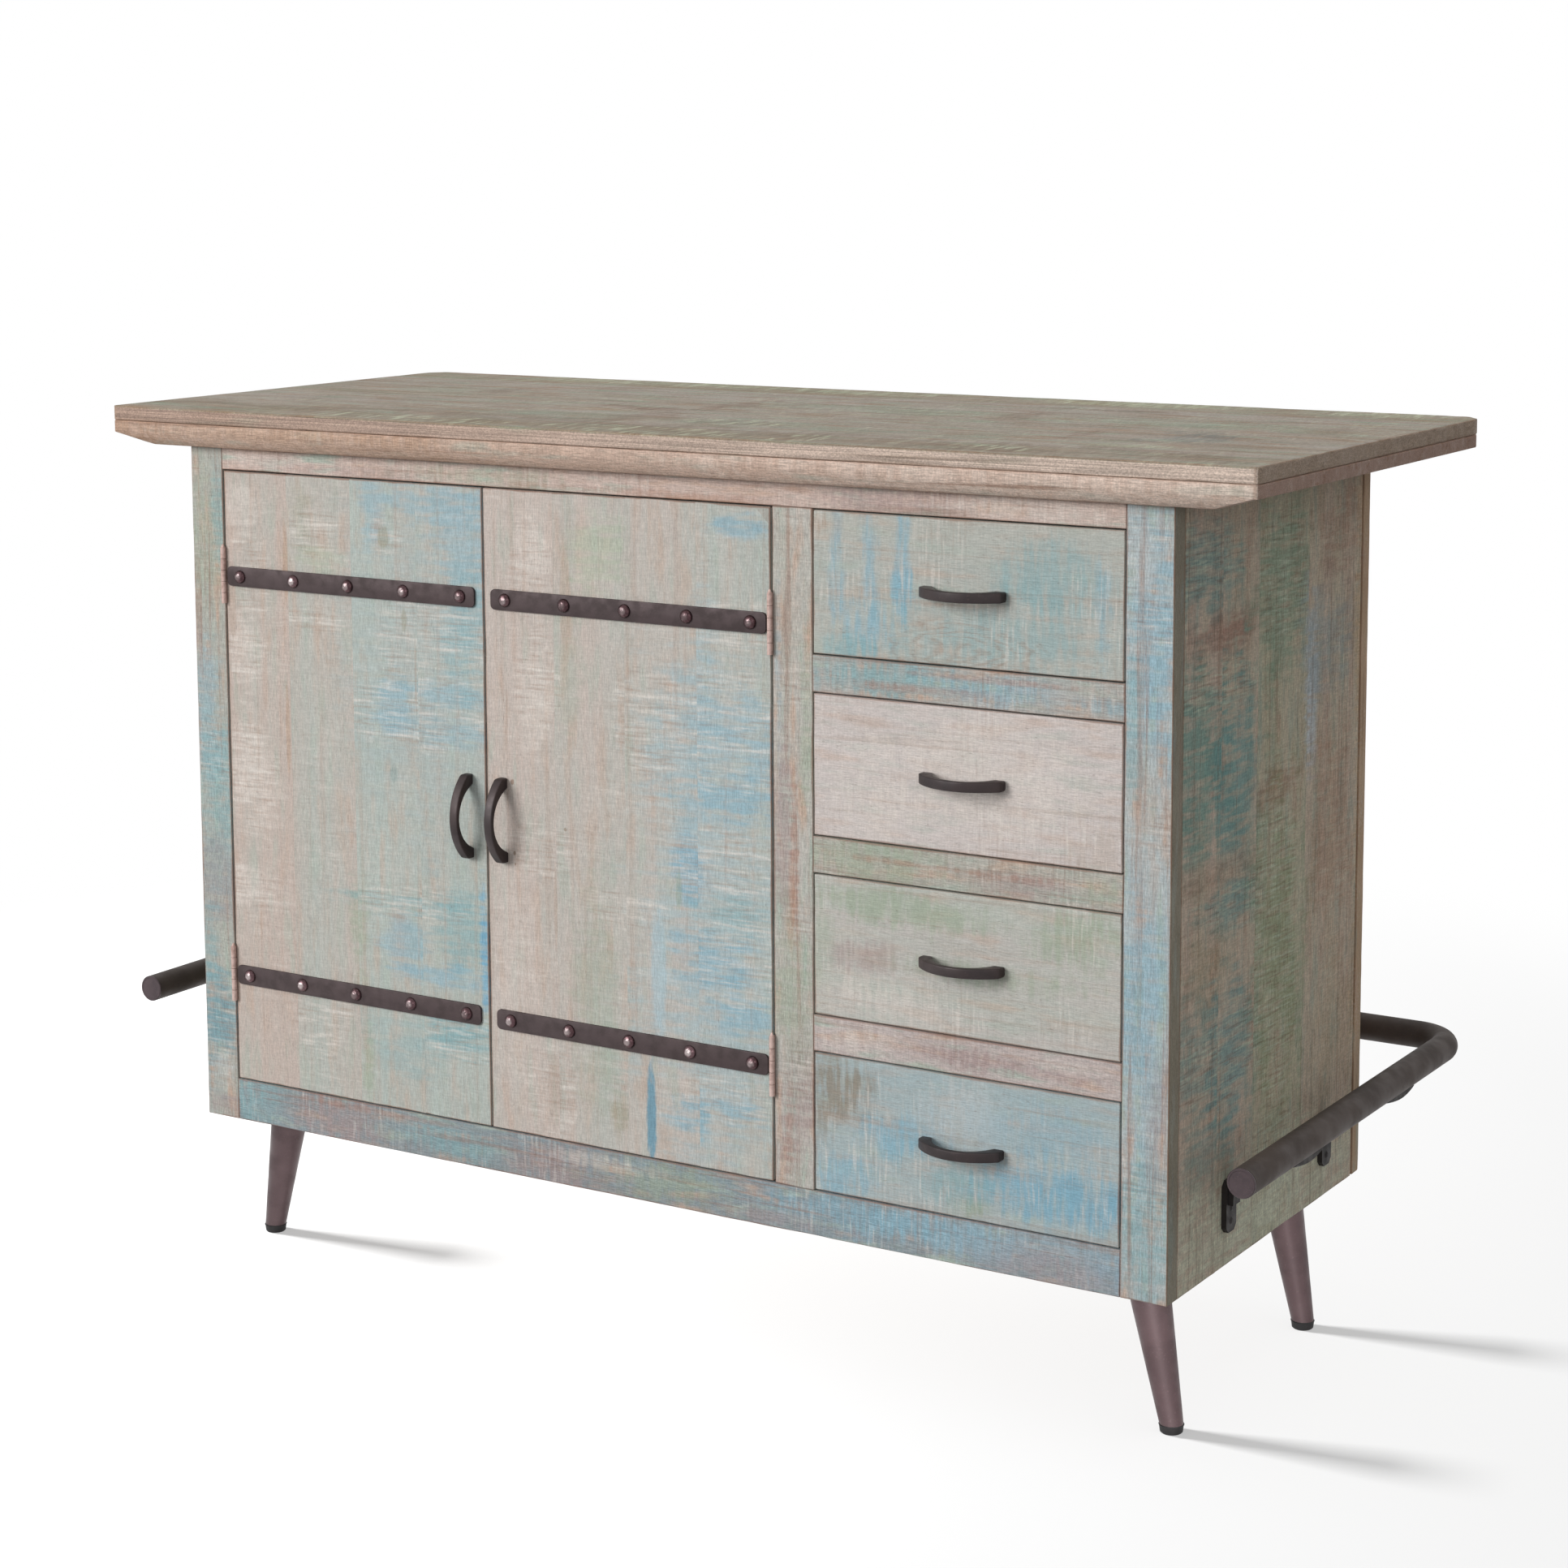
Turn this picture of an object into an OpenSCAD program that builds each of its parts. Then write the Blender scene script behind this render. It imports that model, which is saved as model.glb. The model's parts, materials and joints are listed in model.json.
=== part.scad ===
// Kitchen island unit: a two-door, four-drawer cupboard of limed boards under an overhanging
// worktop, on splayed tapered legs, with a tubular foot rail round its ends and back.
// Origin: on the floor, under the middle of the whole unit. +X runs along the fronts from the
// doors to the drawers, +Y runs from the fronts to the back, +Z is up.

/* [Cabinet] */
// Width of the cabinet, without the worktop
cab_w = 1320; // [1250:5:1400]
// Depth of the cabinet, frame face to back face
cab_d = 528; // [480:2:600]
// Height of the cabinet, without legs and worktop
cab_h = 842; // [842:1:842]
// Thickness of the face frame
frame_t = 25; // [22:1:30]
// Width of the left stile
stile_left_w = 49.5; // [44:0.5:60]
// Width of the stile between doors and drawers
stile_mid_w = 51; // [46:0.5:60]
// Width of the right stile
stile_right_w = 54.5; // [44:0.5:60]
// Height of the bottom rail
rail_bottom_h = 52; // [44:1:60]
// Thickness of the side boards
side_t = 20; // [18:1:24]
// Widths of the side boards, from the front, up to the last one
side_board_w = [96, 94, 136];
// Thickness of the back frame
back_t = 20; // [18:1:24]
// Width of the back stiles and height of the back rails
back_frame_w = 54; // [44:1:70]
// Shadow gap between side boards and back frame
back_gap = 5; // [3:1:8]
// Thickness of the back boards
back_board_t = 14; // [10:1:16]
// Number of back boards
back_boards = 8; // [6:1:10]
// Thickness of floor, partition and shelf
panel_t = 18; // [15:1:20]
// Height of the shelf top above the cabinet's lower edge
shelf_z = 448; // [380:1:500]

/* [Worktop] */
// Overhang of the worktop at both ends
top_over_end = 102; // [90:1:110]
// Overhang of the worktop at the front
top_over_front = 27; // [24:1:30]
// Overhang of the worktop at the back
top_over_back = 92; // [60:1:95]
// Thickness of the top boards
top_board_t = 18; // [16:1:24]
// Thickness of the under layer
top_under_t = 29; // [26:1:34]
// Height of the bevel round the under layer
bevel_h = 13.5; // [10:0.5:16]
// Reach of the bevel at both ends
bevel_end = 53; // [30:1:60]
// Reach of the bevel at front and back
bevel_front = 14; // [10:1:20]
// Radius of the two back corners
top_corner_r = 32; // [15:1:45]
// Radius of the two front corners
top_front_r = 6; // [2:1:15]
// Widths of the worktop boards from front to back, up to the last one
top_board_w = [84, 112, 124, 118, 116];

/* [Doors] */
// Thickness of doors and drawer fronts
door_t = 20; // [18:1:22]
// Gap between door and stile at the hinges
hinge_gap = 2.4; // [2.4:0.2:3]
// Gap round doors and drawer fronts elsewhere
front_gap = 1.5; // [1.5:0.5:3]
// Gap between the two doors
meeting_gap = 2; // [2:0.5:4]
// Boards in one door
door_boards = 4; // [3:1:5]
// Width of the open joint between neighbouring boards
board_gap = 0.4; // [0.2:0.1:1]
// Height of the upper strap and hinge above the cabinet's lower edge
strap_hi_z = 685; // [660:1:710]
// Height of the lower strap and hinge above the cabinet's lower edge
strap_lo_z = 187; // [160:1:220]
// Length of a strap
strap_l = 376; // [350:1:378]
// Width of a strap
strap_w = 24; // [20:1:26]
// Radius of a strap's corners
strap_corner_r = 6; // [3:0.5:8]
// Thickness of a strap
strap_t = 3; // [2:0.5:4]
// Distance from the hinge axis to the strap's end
strap_inset = 5.5; // [5:0.5:8]
// Rivets in one strap
strap_rivets = 5; // [4:1:6]
// Distance from the strap's end to its first rivet
rivet_inset = 20.5; // [16:0.5:26]
// Diameter of a rivet's domed head
rivet_d = 16; // [12:0.5:18]
// Height of a rivet's domed head
rivet_h = 5.5; // [3:0.5:6]
// Height of the batten across the back of a door
batten_h = 60; // [50:1:70]
// Thickness of that batten
batten_t = 16; // [12:1:18]

/* [Hinges] */
// Length of a hinge
hinge_l = 68; // [60:1:76]
// Knuckles of a hinge, frame leaf and door leaf by turns
knuckles = 5; // [3:2:7]
// Outer diameter of the hinge knuckles
knuckle_d = 6.4; // [6:0.2:6.4]
// Thickness of a hinge leaf
leaf_t = 1.1; // [1:0.1:1.1]
// Depth of a hinge leaf, from the axis into the joint
leaf_d = 19; // [16:1:22]
// Diameter of the hinge pin
pin_d = 3; // [2.6:0.2:3.4]
// Radial clearance of the pin in the knuckles
pin_play = 0.05; // [0.03:0.01:0.08]

/* [Pulls] */
// Length of a bow pull
pull_l = 100; // [96:1:104]
// Reach of a bow pull from the face it stands on
pull_out = 33; // [28:1:34]
// Width of a bow pull
pull_w = 11; // [8:0.5:14]
// Length of each foot of a bow pull, along the pull
pull_foot = 12; // [10:1:14]
// Thickness of a bow pull at its middle
pull_t = 6; // [5:0.5:7]
// Height of the door pulls' middle above the cabinet's lower edge
pull_z = 426; // [400:1:450]
// Distance of a door pull from the edge where the doors meet
pull_inset = 24; // [20:1:30]

/* [Drawers] */
// Height of one drawer opening
drawer_h = 160; // [160:1:160]
// Height of the rails between the drawers
drawer_rail_h = 41; // [41:1:41]
// Thickness of drawer sides and backs
box_t = 12; // [10:1:14]
// Height of the drawer sides
box_h = 132; // [110:1:136]
// Depth of a drawer from its front face
box_d = 460; // [400:5:460]
// Thickness of a drawer bottom
box_bottom_t = 6; // [4:1:8]
// Play between a drawer side and its guide
box_play = 2; // [1.5:0.5:3]

/* [Legs] */
// Height of the cabinet's lower edge above the floor
leg_h = 172; // [150:1:180]
// Diameter of a leg at its top
leg_top_d = 48; // [44:1:50]
// Diameter of a leg at its foot
leg_foot_d = 26; // [24:1:30]
// Sideways splay of a leg over its height
leg_splay = 31; // [20:1:36]
// Distance of a leg's foot from the cabinet's end
foot_inset = 32; // [26:1:40]
// Distance of a leg from the cabinet's front or back
leg_inset = 84; // [70:1:100]
// Thickness of the foot pad
pad_h = 10; // [8:1:12]
// Side of the square leg plate
plate_w = 76; // [70:1:80]
// Thickness of the leg plate
plate_t = 3; // [3:0.5:3]

/* [Foot rail] */
// Outer diameter of the rail tube
rail_d = 32; // [28:1:34]
// Wall thickness of the rail tube
rail_wall = 2; // [1.5:0.5:3]
// Distance from the cabinet to the middle of the rail
rail_off = 85; // [75:1:90]
// Height of the rail's middle above the cabinet's lower edge
rail_z = 150; // [140:1:170]
// Radius of the rail's bends at its middle
rail_bend_r = 45; // [40:1:60]
// Reach of the rail's ends beyond the frame face
rail_end = 5; // [0:1:10]
// Thickness of a rail end cap
cap_t = 3; // [2:0.5:4]
// Width of a rail bracket's plate
bracket_w = 26; // [20:1:30]
// Width of the bar that carries the rail
arm_w = 18; // [14:1:20]
// Thickness of a rail bracket
bracket_t = 6; // [5:0.5:7]
// Outer radius of the bar's bend
arm_bend_r = 56; // [50:1:60]
// Length of the saddle that cradles the rail
saddle_l = 72; // [60:1:80]
// Thickness of the saddle at its middle
saddle_t = 5; // [3:0.5:6]
// Height of the bracket's foot above the cabinet's lower edge
bracket_z = 39; // [35:1:50]
// Length of the bracket's plate
bracket_l = 58; // [50:1:60]
// Distance of the front side bracket from the frame face
bracket_front_y = 149; // [130:1:180]
// Distance of the rear side bracket from the frame face
bracket_rear_y = 415; // [390:1:440]
// Distance of the back brackets from the cabinet's ends
bracket_back_x = 300; // [200:5:400]

/* [Hidden] */

// Where the cabinet's lower front left corner lies in the unit's own frame
unit_front = -pull_out;
unit_back = cab_d + rail_off + rail_d / 2;
cab_corner = [-cab_w / 2, -(unit_front + unit_back) / 2, leg_h];

// Openings of the face frame
cup_x0 = stile_left_w;
draw_x1 = cab_w - stile_right_w;
draw_w = 376;
draw_x0 = draw_x1 - draw_w;
cup_x1 = draw_x0 - stile_mid_w;
open_z0 = rail_bottom_h;
open_z1 = open_z0 + 4 * drawer_h + 3 * drawer_rail_h;
rail_top_h = cab_h - open_z1;

// Doors
door_w = (cup_x1 - cup_x0 - 2 * hinge_gap - meeting_gap) / 2;
door_z0 = open_z0 + front_gap;
door_h = open_z1 - open_z0 - 2 * front_gap;
door_left_x = cup_x0 + hinge_gap;
door_right_x = cup_x1 - hinge_gap - door_w;

// Rivets and pull screws
rivet_shank_d = 5;
rivet_grip = strap_t + door_t + batten_t;
rivet_tail_d = 9;
rivet_tail_h = 2;
hole_play = 0.2;
cut_margin = 1;
pull_screw_d = 4;
pull_screw_head_d = 8;
pull_screw_head_h = 2.5;
pull_screw_depth = 7;
pull_screw_x = (pull_l - pull_foot) / 2;

// Hinge axes: half way across the hinge gap, just in front of the frame face
axis_left_x = cup_x0 + hinge_gap / 2;
axis_right_x = cup_x1 - hinge_gap / 2;
knuckle_off = 0.2;
axis_y = -(knuckle_d / 2 + knuckle_off);
leaf_off = 0.1;
knuckle_gap = 0.6;
knuckle_l = (hinge_l - (knuckles - 1) * knuckle_gap) / knuckles;
pin_head_d = 5;
pin_head_h = 1.5;
pin_tip_d = 2;
pin_tip_h = 3;

// Straps end beside the hinges, and pulls stand near the edge where the doors meet
strap_left_x = axis_left_x + strap_inset;
strap_right_x = axis_right_x - strap_inset - strap_l;
pull_left_x = door_left_x + door_w - pull_inset;
pull_right_x = door_right_x + pull_inset;

// Inside of the cabinet
inner_x0 = side_t;
inner_x1 = cab_w - side_t;
back_y = cab_d - back_t;
part_x0 = (cup_x1 + draw_x0 - panel_t) / 2;
part_x1 = part_x0 + panel_t;
floor_z1 = rail_bottom_h - 2;
floor_z0 = floor_z1 - panel_t;
cleat_w = 20;
cleat_inset = 15;
shelf_y0 = 45;
catch_x = (cup_x0 + cup_x1) / 2;
catch_w = 40;
catch_h = 18;
catch_play = 0.5;
strike_t = 1.5;
strike_w = 14;
strike_h = 15;
strike_inset = 2;

// Drawers, numbered from the top
function drawer_z(n) = open_z1 - n * drawer_h - (n - 1) * drawer_rail_h;
box_x0 = draw_x0 + box_play;
box_x1 = draw_x1 - box_play;
runner_rise = 3;
runner_play = 0.2;
runner_h = 20;
guide_h = 25;
bottom_rise = 8;

// Legs
leg_tilt = atan(leg_splay / (leg_h - pad_h));
leg_top_inset = foot_inset + leg_splay;
bearer_w = 110;

// Foot rail
rail_back_y = cab_d + rail_off;
rail_saddle = 0.6;
arm_past_rail = 4;
saddle_rim_t = 0.8;
bracket_screws_z = [bracket_z + 12, bracket_z + 27];
plate_screw_inset = 10;
screw_head_d = 9;
screw_head_h = 1.6;
screw_d = 4;

paint_cream = "#c9bcae";
paint_green = "#a9b3a2";
paint_blue = "#8fb3bd";
paint_shade = "#6b7268";
worktop_brown = "#938572";
bare_wood = "#b99a78";
dark_iron = "#4c3b38";
rivet_steel = "#8a7a76";
hinge_copper = "#9b7d74";
pad_rubber = "#1e1c1c";
catch_ivory = "#d8d4cc";

// A block from its low corner to its high corner
module block(low, high) {
    translate(low)
        cube(high - low);
}

// Everything below is drawn from the cabinet's lower front left corner
module in_cabinet() {
    translate(cab_corner)
        children();
}

// Mirrors what it holds from the cabinet's left half to its right half
module mirrored_x() {
    translate([cab_w, 0, 0])
        mirror([1, 0, 0])
            children();
}

// --- Worktop ---

module top_outline() {
    width = cab_w + 2 * top_over_end;
    depth = cab_d + top_over_front + top_over_back;
    translate([0, top_front_r])
        square([width, depth - top_corner_r - top_front_r]);
    translate([top_corner_r, 0])
        square([width - 2 * top_corner_r, depth]);
    translate([top_front_r, 0])
        square([width - 2 * top_front_r, 2 * top_front_r]);
    for (x = [top_front_r, width - top_front_r])
        translate([x, top_front_r])
            circle(r = top_front_r, $fn = 48);
    for (x = [top_corner_r, width - top_corner_r])
        translate([x, depth - top_corner_r])
            circle(r = top_corner_r, $fn = 64);
}

function before(widths, n) = n == 0 ? 0 : widths[n - 1] + before(widths, n - 1);

module worktop_boards() {
    depth = cab_d + top_over_front + top_over_back;
    count = len(top_board_w) + 1;
    color(worktop_brown)
        in_cabinet()
            translate([-top_over_end, -top_over_front, cab_h + top_under_t])
                for (n = [0:count - 1]) {
                    y0 = before(top_board_w, n);
                    y1 = n == count - 1 ? depth : before(top_board_w, n + 1) - board_gap;
                    linear_extrude(top_board_t)
                        intersection() {
                            top_outline();
                            translate([0, y0])
                                square([cab_w + 2 * top_over_end, y1 - y0]);
                        }
                }
}

// A wedge that bevels the lower edge of the under layer; it runs along +Y and cuts towards +X
module bevel_cutter(reach, run) {
    slope = atan(bevel_h / reach);
    margin = 10;
    translate([0, -margin, bevel_h])
        rotate([0, slope, 0])
            translate([-2 * margin, 0, -2 * bevel_h])
                cube([2 * (reach + margin), run + 2 * margin, 2 * bevel_h]);
}

module worktop_underlayer() {
    width = cab_w + 2 * top_over_end;
    depth = cab_d + top_over_front + top_over_back;
    color(bare_wood)
        in_cabinet()
            translate([-top_over_end, -top_over_front, cab_h])
                difference() {
                    linear_extrude(top_under_t)
                        top_outline();
                    bevel_cutter(bevel_end, depth);
                    translate([width, depth, 0])
                        rotate([0, 0, 180])
                            bevel_cutter(bevel_end, depth);
                    translate([width, 0, 0])
                        rotate([0, 0, 90])
                            bevel_cutter(bevel_front, width);
                    translate([0, depth, 0])
                        rotate([0, 0, -90])
                            bevel_cutter(bevel_front, width);
                }
}

// --- Face frame ---

module stile(x0, x1, tint) {
    color(tint)
        in_cabinet()
            block([x0, 0, 0], [x1, frame_t, cab_h]);
}

module stile_left() {
    stile(0, cup_x0, paint_green);
}

module stile_middle() {
    color(paint_green)
        in_cabinet()
            block([cup_x1, 0, rail_bottom_h], [draw_x0, frame_t, open_z1]);
}

module stile_right() {
    stile(draw_x1, cab_w, paint_blue);
}

module frame_rail(x0, z0, z1, tint) {
    color(tint)
        in_cabinet()
            block([x0, 0, z0], [draw_x1, frame_t, z1]);
}

module rail_top() {
    frame_rail(cup_x0, open_z1, cab_h, paint_cream);
}

module rail_bottom() {
    frame_rail(cup_x0, 0, rail_bottom_h, paint_blue);
}

// The rail under drawer n
module drawer_rail(n, tint) {
    frame_rail(draw_x0, drawer_z(n) - drawer_rail_h, drawer_z(n), tint);
}

module drawer_rail_1() {
    drawer_rail(1, paint_blue);
}

module drawer_rail_2() {
    drawer_rail(2, paint_green);
}

module drawer_rail_3() {
    drawer_rail(3, paint_cream);
}

// --- Sides and back ---

// Boards side by side from the frame to the back; the last has a tongue into the back gap
module side_panel() {
    last_y = back_y - back_gap;
    count = len(side_board_w) + 1;
    color(paint_shade)
        for (n = [0:count - 1]) {
            y0 = frame_t + before(side_board_w, n);
            y1 = n == count - 1 ? last_y : frame_t + before(side_board_w, n + 1) - board_gap;
            block([0, y0, 0], [side_t, y1, cab_h]);
        }
    color(paint_shade)
        block([side_t / 2, last_y, 0], [side_t, back_y, cab_h]);
}

module side_panel_left() {
    in_cabinet()
        side_panel();
}

module side_panel_right() {
    in_cabinet()
        mirrored_x()
            side_panel();
}

module back_stiles() {
    color(bare_wood)
        in_cabinet()
            for (x = [0, cab_w - back_frame_w])
                block([x, back_y, 0], [x + back_frame_w, cab_d, cab_h]);
}

module back_rails() {
    color(bare_wood)
        in_cabinet()
            for (z = [0, cab_h - back_frame_w])
                block([back_frame_w, back_y, z], [cab_w - back_frame_w, cab_d, z + back_frame_w]);
}

module back_panel() {
    pitch = (cab_w - 2 * back_frame_w + board_gap) / back_boards;
    color(bare_wood)
        in_cabinet()
            for (n = [0:back_boards - 1])
                translate([back_frame_w + n * pitch, back_y, back_frame_w])
                    cube([pitch - board_gap, back_board_t, cab_h - 2 * back_frame_w]);
}

// --- Inside ---

module floor_panel() {
    color(bare_wood)
        in_cabinet()
            block([inner_x0, frame_t, floor_z0], [inner_x1, back_y, floor_z1]);
}

module partition() {
    color(bare_wood)
        in_cabinet()
            block([part_x0, frame_t, floor_z1], [part_x1, back_y, cab_h]);
}

module cupboard_shelf() {
    color(bare_wood)
        in_cabinet()
            block([inner_x0, shelf_y0, shelf_z - panel_t], [part_x0, back_y, shelf_z]);
}

module shelf_cleats() {
    low = shelf_z - panel_t - cleat_w;
    color(bare_wood)
        in_cabinet()
            for (x = [inner_x0, part_x0 - cleat_w])
                block(
                    [x, shelf_y0 + cleat_inset, low],
                    [x + cleat_w, back_y - cleat_inset, low + cleat_w]
                );
}

// Strips inside the top of the cabinet, screwed up into the worktop
module worktop_cleats() {
    low = cab_h - rail_top_h;
    color(bare_wood)
        in_cabinet() {
            for (span = [[inner_x0, part_x0], [part_x1, inner_x1]])
                for (y = [frame_t, back_y - cleat_w])
                    block([span[0], y, low], [span[1], y + cleat_w, cab_h]);
        }
}

// Two runners and two side guides to a drawer; the lowest runners lie on the floor panel
module drawer_runners() {
    color(bare_wood)
        in_cabinet()
            for (n = [1:4]) {
                top = drawer_z(n) + runner_rise;
                low = max(top - runner_h, floor_z1);
                guide = top + board_gap;
                block([part_x1, frame_t, low], [box_x0 + box_t, back_y, top]);
                block([box_x1 - box_t, frame_t, low], [inner_x1, back_y, top]);
                block([part_x1, frame_t, guide], [draw_x0, back_y, guide + guide_h]);
                block([draw_x1, frame_t, guide], [inner_x1, back_y, guide + guide_h]);
            }
}

module leg_bearers() {
    color(bare_wood)
        in_cabinet()
            for (x = [inner_x0, inner_x1 - bearer_w])
                block([x, frame_t, plate_t], [x + bearer_w, back_y, floor_z0]);
}

// --- Doors ---

// Boards side by side, bored for the strap's rivets and the pull's screws
module door(x0, strap_x, pull_x, tint) {
    pitch = (door_w + board_gap) / door_boards;
    color(tint)
        in_cabinet()
            difference() {
                for (n = [0:door_boards - 1])
                    translate([x0 + n * pitch, 0, door_z0])
                        cube([pitch - board_gap, door_t, door_h]);
                at_rivets(strap_x)
                    rivet_hole();
                translate([pull_x, 0, pull_z])
                    rotate([0, 90, 0])
                        pull_holes();
            }
}

module door_left() {
    door(door_left_x, strap_left_x, pull_left_x, paint_green);
}

module door_right() {
    door(door_right_x, strap_right_x, pull_right_x, paint_cream);
}

// Two boards across the back of a door, behind its straps
module door_battens(x0, strap_x) {
    margin = 15;
    color(bare_wood)
        in_cabinet()
            difference() {
                for (z = [strap_lo_z, strap_hi_z])
                    block(
                        [x0 + margin, door_t, z - batten_h / 2],
                        [x0 + door_w - margin, door_t + batten_t, z + batten_h / 2]
                    );
                at_rivets(strap_x)
                    rivet_hole();
            }
}

module door_battens_left() {
    door_battens(door_left_x, strap_left_x);
}

module door_battens_right() {
    door_battens(door_right_x, strap_right_x);
}

// A flat bar with rounded corners, from its low end along +X
module strap() {
    corner = strap_corner_r;
    rotate([90, 0, 0])
        linear_extrude(strap_t)
            union() {
                translate([corner, -strap_w / 2])
                    square([strap_l - 2 * corner, strap_w]);
                translate([0, corner - strap_w / 2])
                    square([strap_l, strap_w - 2 * corner]);
                for (x = [corner, strap_l - corner])
                    for (z = [corner - strap_w / 2, strap_w / 2 - corner])
                        translate([x, z])
                            circle(r = corner, $fn = 32);
            }
}

module straps(x0) {
    color(dark_iron)
        in_cabinet()
            difference() {
                for (z = [strap_lo_z, strap_hi_z])
                    translate([x0, 0, z])
                        strap();
                at_rivets(x0)
                    rivet_hole();
            }
}

module straps_left() {
    straps(strap_left_x);
}

module straps_right() {
    straps(strap_right_x);
}

// Places a child on the strap's face at every rivet of a door
module at_rivets(x0) {
    pitch = (strap_l - 2 * rivet_inset) / (strap_rivets - 1);
    for (z = [strap_lo_z, strap_hi_z])
        for (n = [0:strap_rivets - 1])
            translate([x0 + rivet_inset + n * pitch, -strap_t, z])
                children();
}

// A domed head on the strap's face, a shank through strap, door and batten, and a flat tail
module rivet() {
    dome_r = (rivet_d * rivet_d / 4 + rivet_h * rivet_h) / (2 * rivet_h);
    rotate([90, 0, 0])
        rotate_extrude($fn = 48)
            intersection() {
                translate([0, rivet_h - dome_r])
                    circle(r = dome_r, $fn = 96);
                square([rivet_d, rivet_h]);
            }
    rotate([-90, 0, 0])
        cylinder(d = rivet_shank_d, h = rivet_grip + rivet_tail_h, $fn = 32);
    translate([0, rivet_grip, 0])
        rotate([-90, 0, 0])
            cylinder(d = rivet_tail_d, h = rivet_tail_h, $fn = 32);
}

module rivet_hole() {
    translate([0, -cut_margin, 0])
        rotate([-90, 0, 0])
            cylinder(
                d = rivet_shank_d + hole_play,
                h = rivet_grip + 2 * cut_margin,
                $fn = 32
            );
}

module rivets(x0) {
    color(rivet_steel)
        in_cabinet()
            at_rivets(x0)
                rivet();
}

module rivets_left() {
    rivets(strap_left_x);
}

module rivets_right() {
    rivets(strap_right_x);
}

// --- Pulls ---

// Outline of a bow pull, its length along X and its reach along +Y
module pull_outline() {
    half = pull_l / 2;
    foot_rise = 10;
    rise = pull_out - foot_rise;
    outer_r = (half * half + rise * rise) / (2 * rise);
    inner_half = half - pull_foot;
    inner_rise = pull_out - pull_t;
    inner_r = (inner_half * inner_half + inner_rise * inner_rise) / (2 * inner_rise);
    difference() {
        intersection() {
            translate([0, pull_out - outer_r])
                circle(r = outer_r, $fn = 128);
            translate([-half, 0])
                square([pull_l, pull_out]);
        }
        translate([0, inner_rise - inner_r])
            circle(r = inner_r, $fn = 128);
    }
}

// Clearance holes for a pull's two screws, through its feet and the front behind it
module pull_holes() {
    for (x = [-pull_screw_x, pull_screw_x])
        translate([x, -pull_screw_depth - cut_margin, 0])
            rotate([-90, 0, 0])
                cylinder(
                    d = pull_screw_d + hole_play,
                    h = pull_screw_depth + door_t + 2 * cut_margin,
                    $fn = 32
                );
}

// A bow pull that lies along X and reaches towards -Y, with its two screws from behind
module bow_pull() {
    color(dark_iron)
        difference() {
            translate([0, 0, -pull_w / 2])
                mirror([0, 1, 0])
                    linear_extrude(pull_w)
                        pull_outline();
            pull_holes();
        }
    color(rivet_steel)
        for (x = [-pull_screw_x, pull_screw_x]) {
            translate([x, -pull_screw_depth, 0])
                rotate([-90, 0, 0])
                    cylinder(d = pull_screw_d, h = pull_screw_depth + door_t, $fn = 32);
            translate([x, door_t, 0])
                rotate([-90, 0, 0])
                    cylinder(d = pull_screw_head_d, h = pull_screw_head_h, $fn = 32);
        }
}

module door_pull(x) {
    in_cabinet()
        translate([x, 0, pull_z])
            rotate([0, 90, 0])
                bow_pull();
}

module door_pull_left() {
    door_pull(pull_left_x);
}

module door_pull_right() {
    door_pull(pull_right_x);
}

// --- Hinges ---

// Knuckle n, counted from below
module knuckle(n) {
    translate([0, 0, n * (knuckle_l + knuckle_gap) - hinge_l / 2])
        cylinder(d = knuckle_d, h = knuckle_l, $fn = 48);
}

// Joins knuckle n to its leaf
module knuckle_web(n) {
    translate([-leaf_t - leaf_off, 0, n * (knuckle_l + knuckle_gap) - hinge_l / 2])
        cube([leaf_t, -axis_y, knuckle_l]);
}

module pin_bore() {
    translate([0, 0, -hinge_l])
        cylinder(d = pin_d + 2 * pin_play, h = 2 * hinge_l, $fn = 48);
}

// A leaf that lies on the -X side of the hinge axis, with every other knuckle from the first
module hinge_leaf(first) {
    difference() {
        union() {
            block(
                [-leaf_t - leaf_off, -axis_y, -hinge_l / 2],
                [-leaf_off, leaf_d, hinge_l / 2]
            );
            for (n = [first:2:knuckles - 1]) {
                knuckle(n);
                knuckle_web(n);
            }
        }
        pin_bore();
    }
}

module at_hinges(x) {
    in_cabinet()
        for (z = [strap_lo_z, strap_hi_z])
            translate([x, axis_y, z])
                children();
}

// Leaves on the stiles: the left pair faces +X, the right pair is its mirror image
module hinge_frame_leaves() {
    color(hinge_copper) {
        at_hinges(axis_left_x)
            hinge_leaf(0);
        at_hinges(axis_right_x)
            mirror([1, 0, 0])
                hinge_leaf(0);
    }
}

module hinge_door_leaves_left() {
    color(hinge_copper)
        at_hinges(axis_left_x)
            mirror([1, 0, 0])
                hinge_leaf(1);
}

module hinge_door_leaves_right() {
    color(hinge_copper)
        at_hinges(axis_right_x)
            hinge_leaf(1);
}

// Pins with a head that rests on the top knuckle and a tapered tip on it
module hinge_pins() {
    color(rivet_steel)
        for (x = [axis_left_x, axis_right_x])
            at_hinges(x) {
                translate([0, 0, -hinge_l / 2])
                    cylinder(d = pin_d, h = hinge_l, $fn = 48);
                translate([0, 0, hinge_l / 2]) {
                    cylinder(d = pin_head_d, h = pin_head_h, $fn = 48);
                    translate([0, 0, pin_head_h])
                        cylinder(d1 = pin_head_d - 1, d2 = pin_tip_d, h = pin_tip_h, $fn = 48);
                }
            }
}

// --- Catch ---

module door_catch() {
    low = open_z1 - catch_h;
    color(catch_ivory)
        in_cabinet()
            block(
                [catch_x - catch_w / 2, door_t + strike_t + catch_play, low],
                [catch_x + catch_w / 2, frame_t + cleat_w, open_z1]
            );
}

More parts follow.
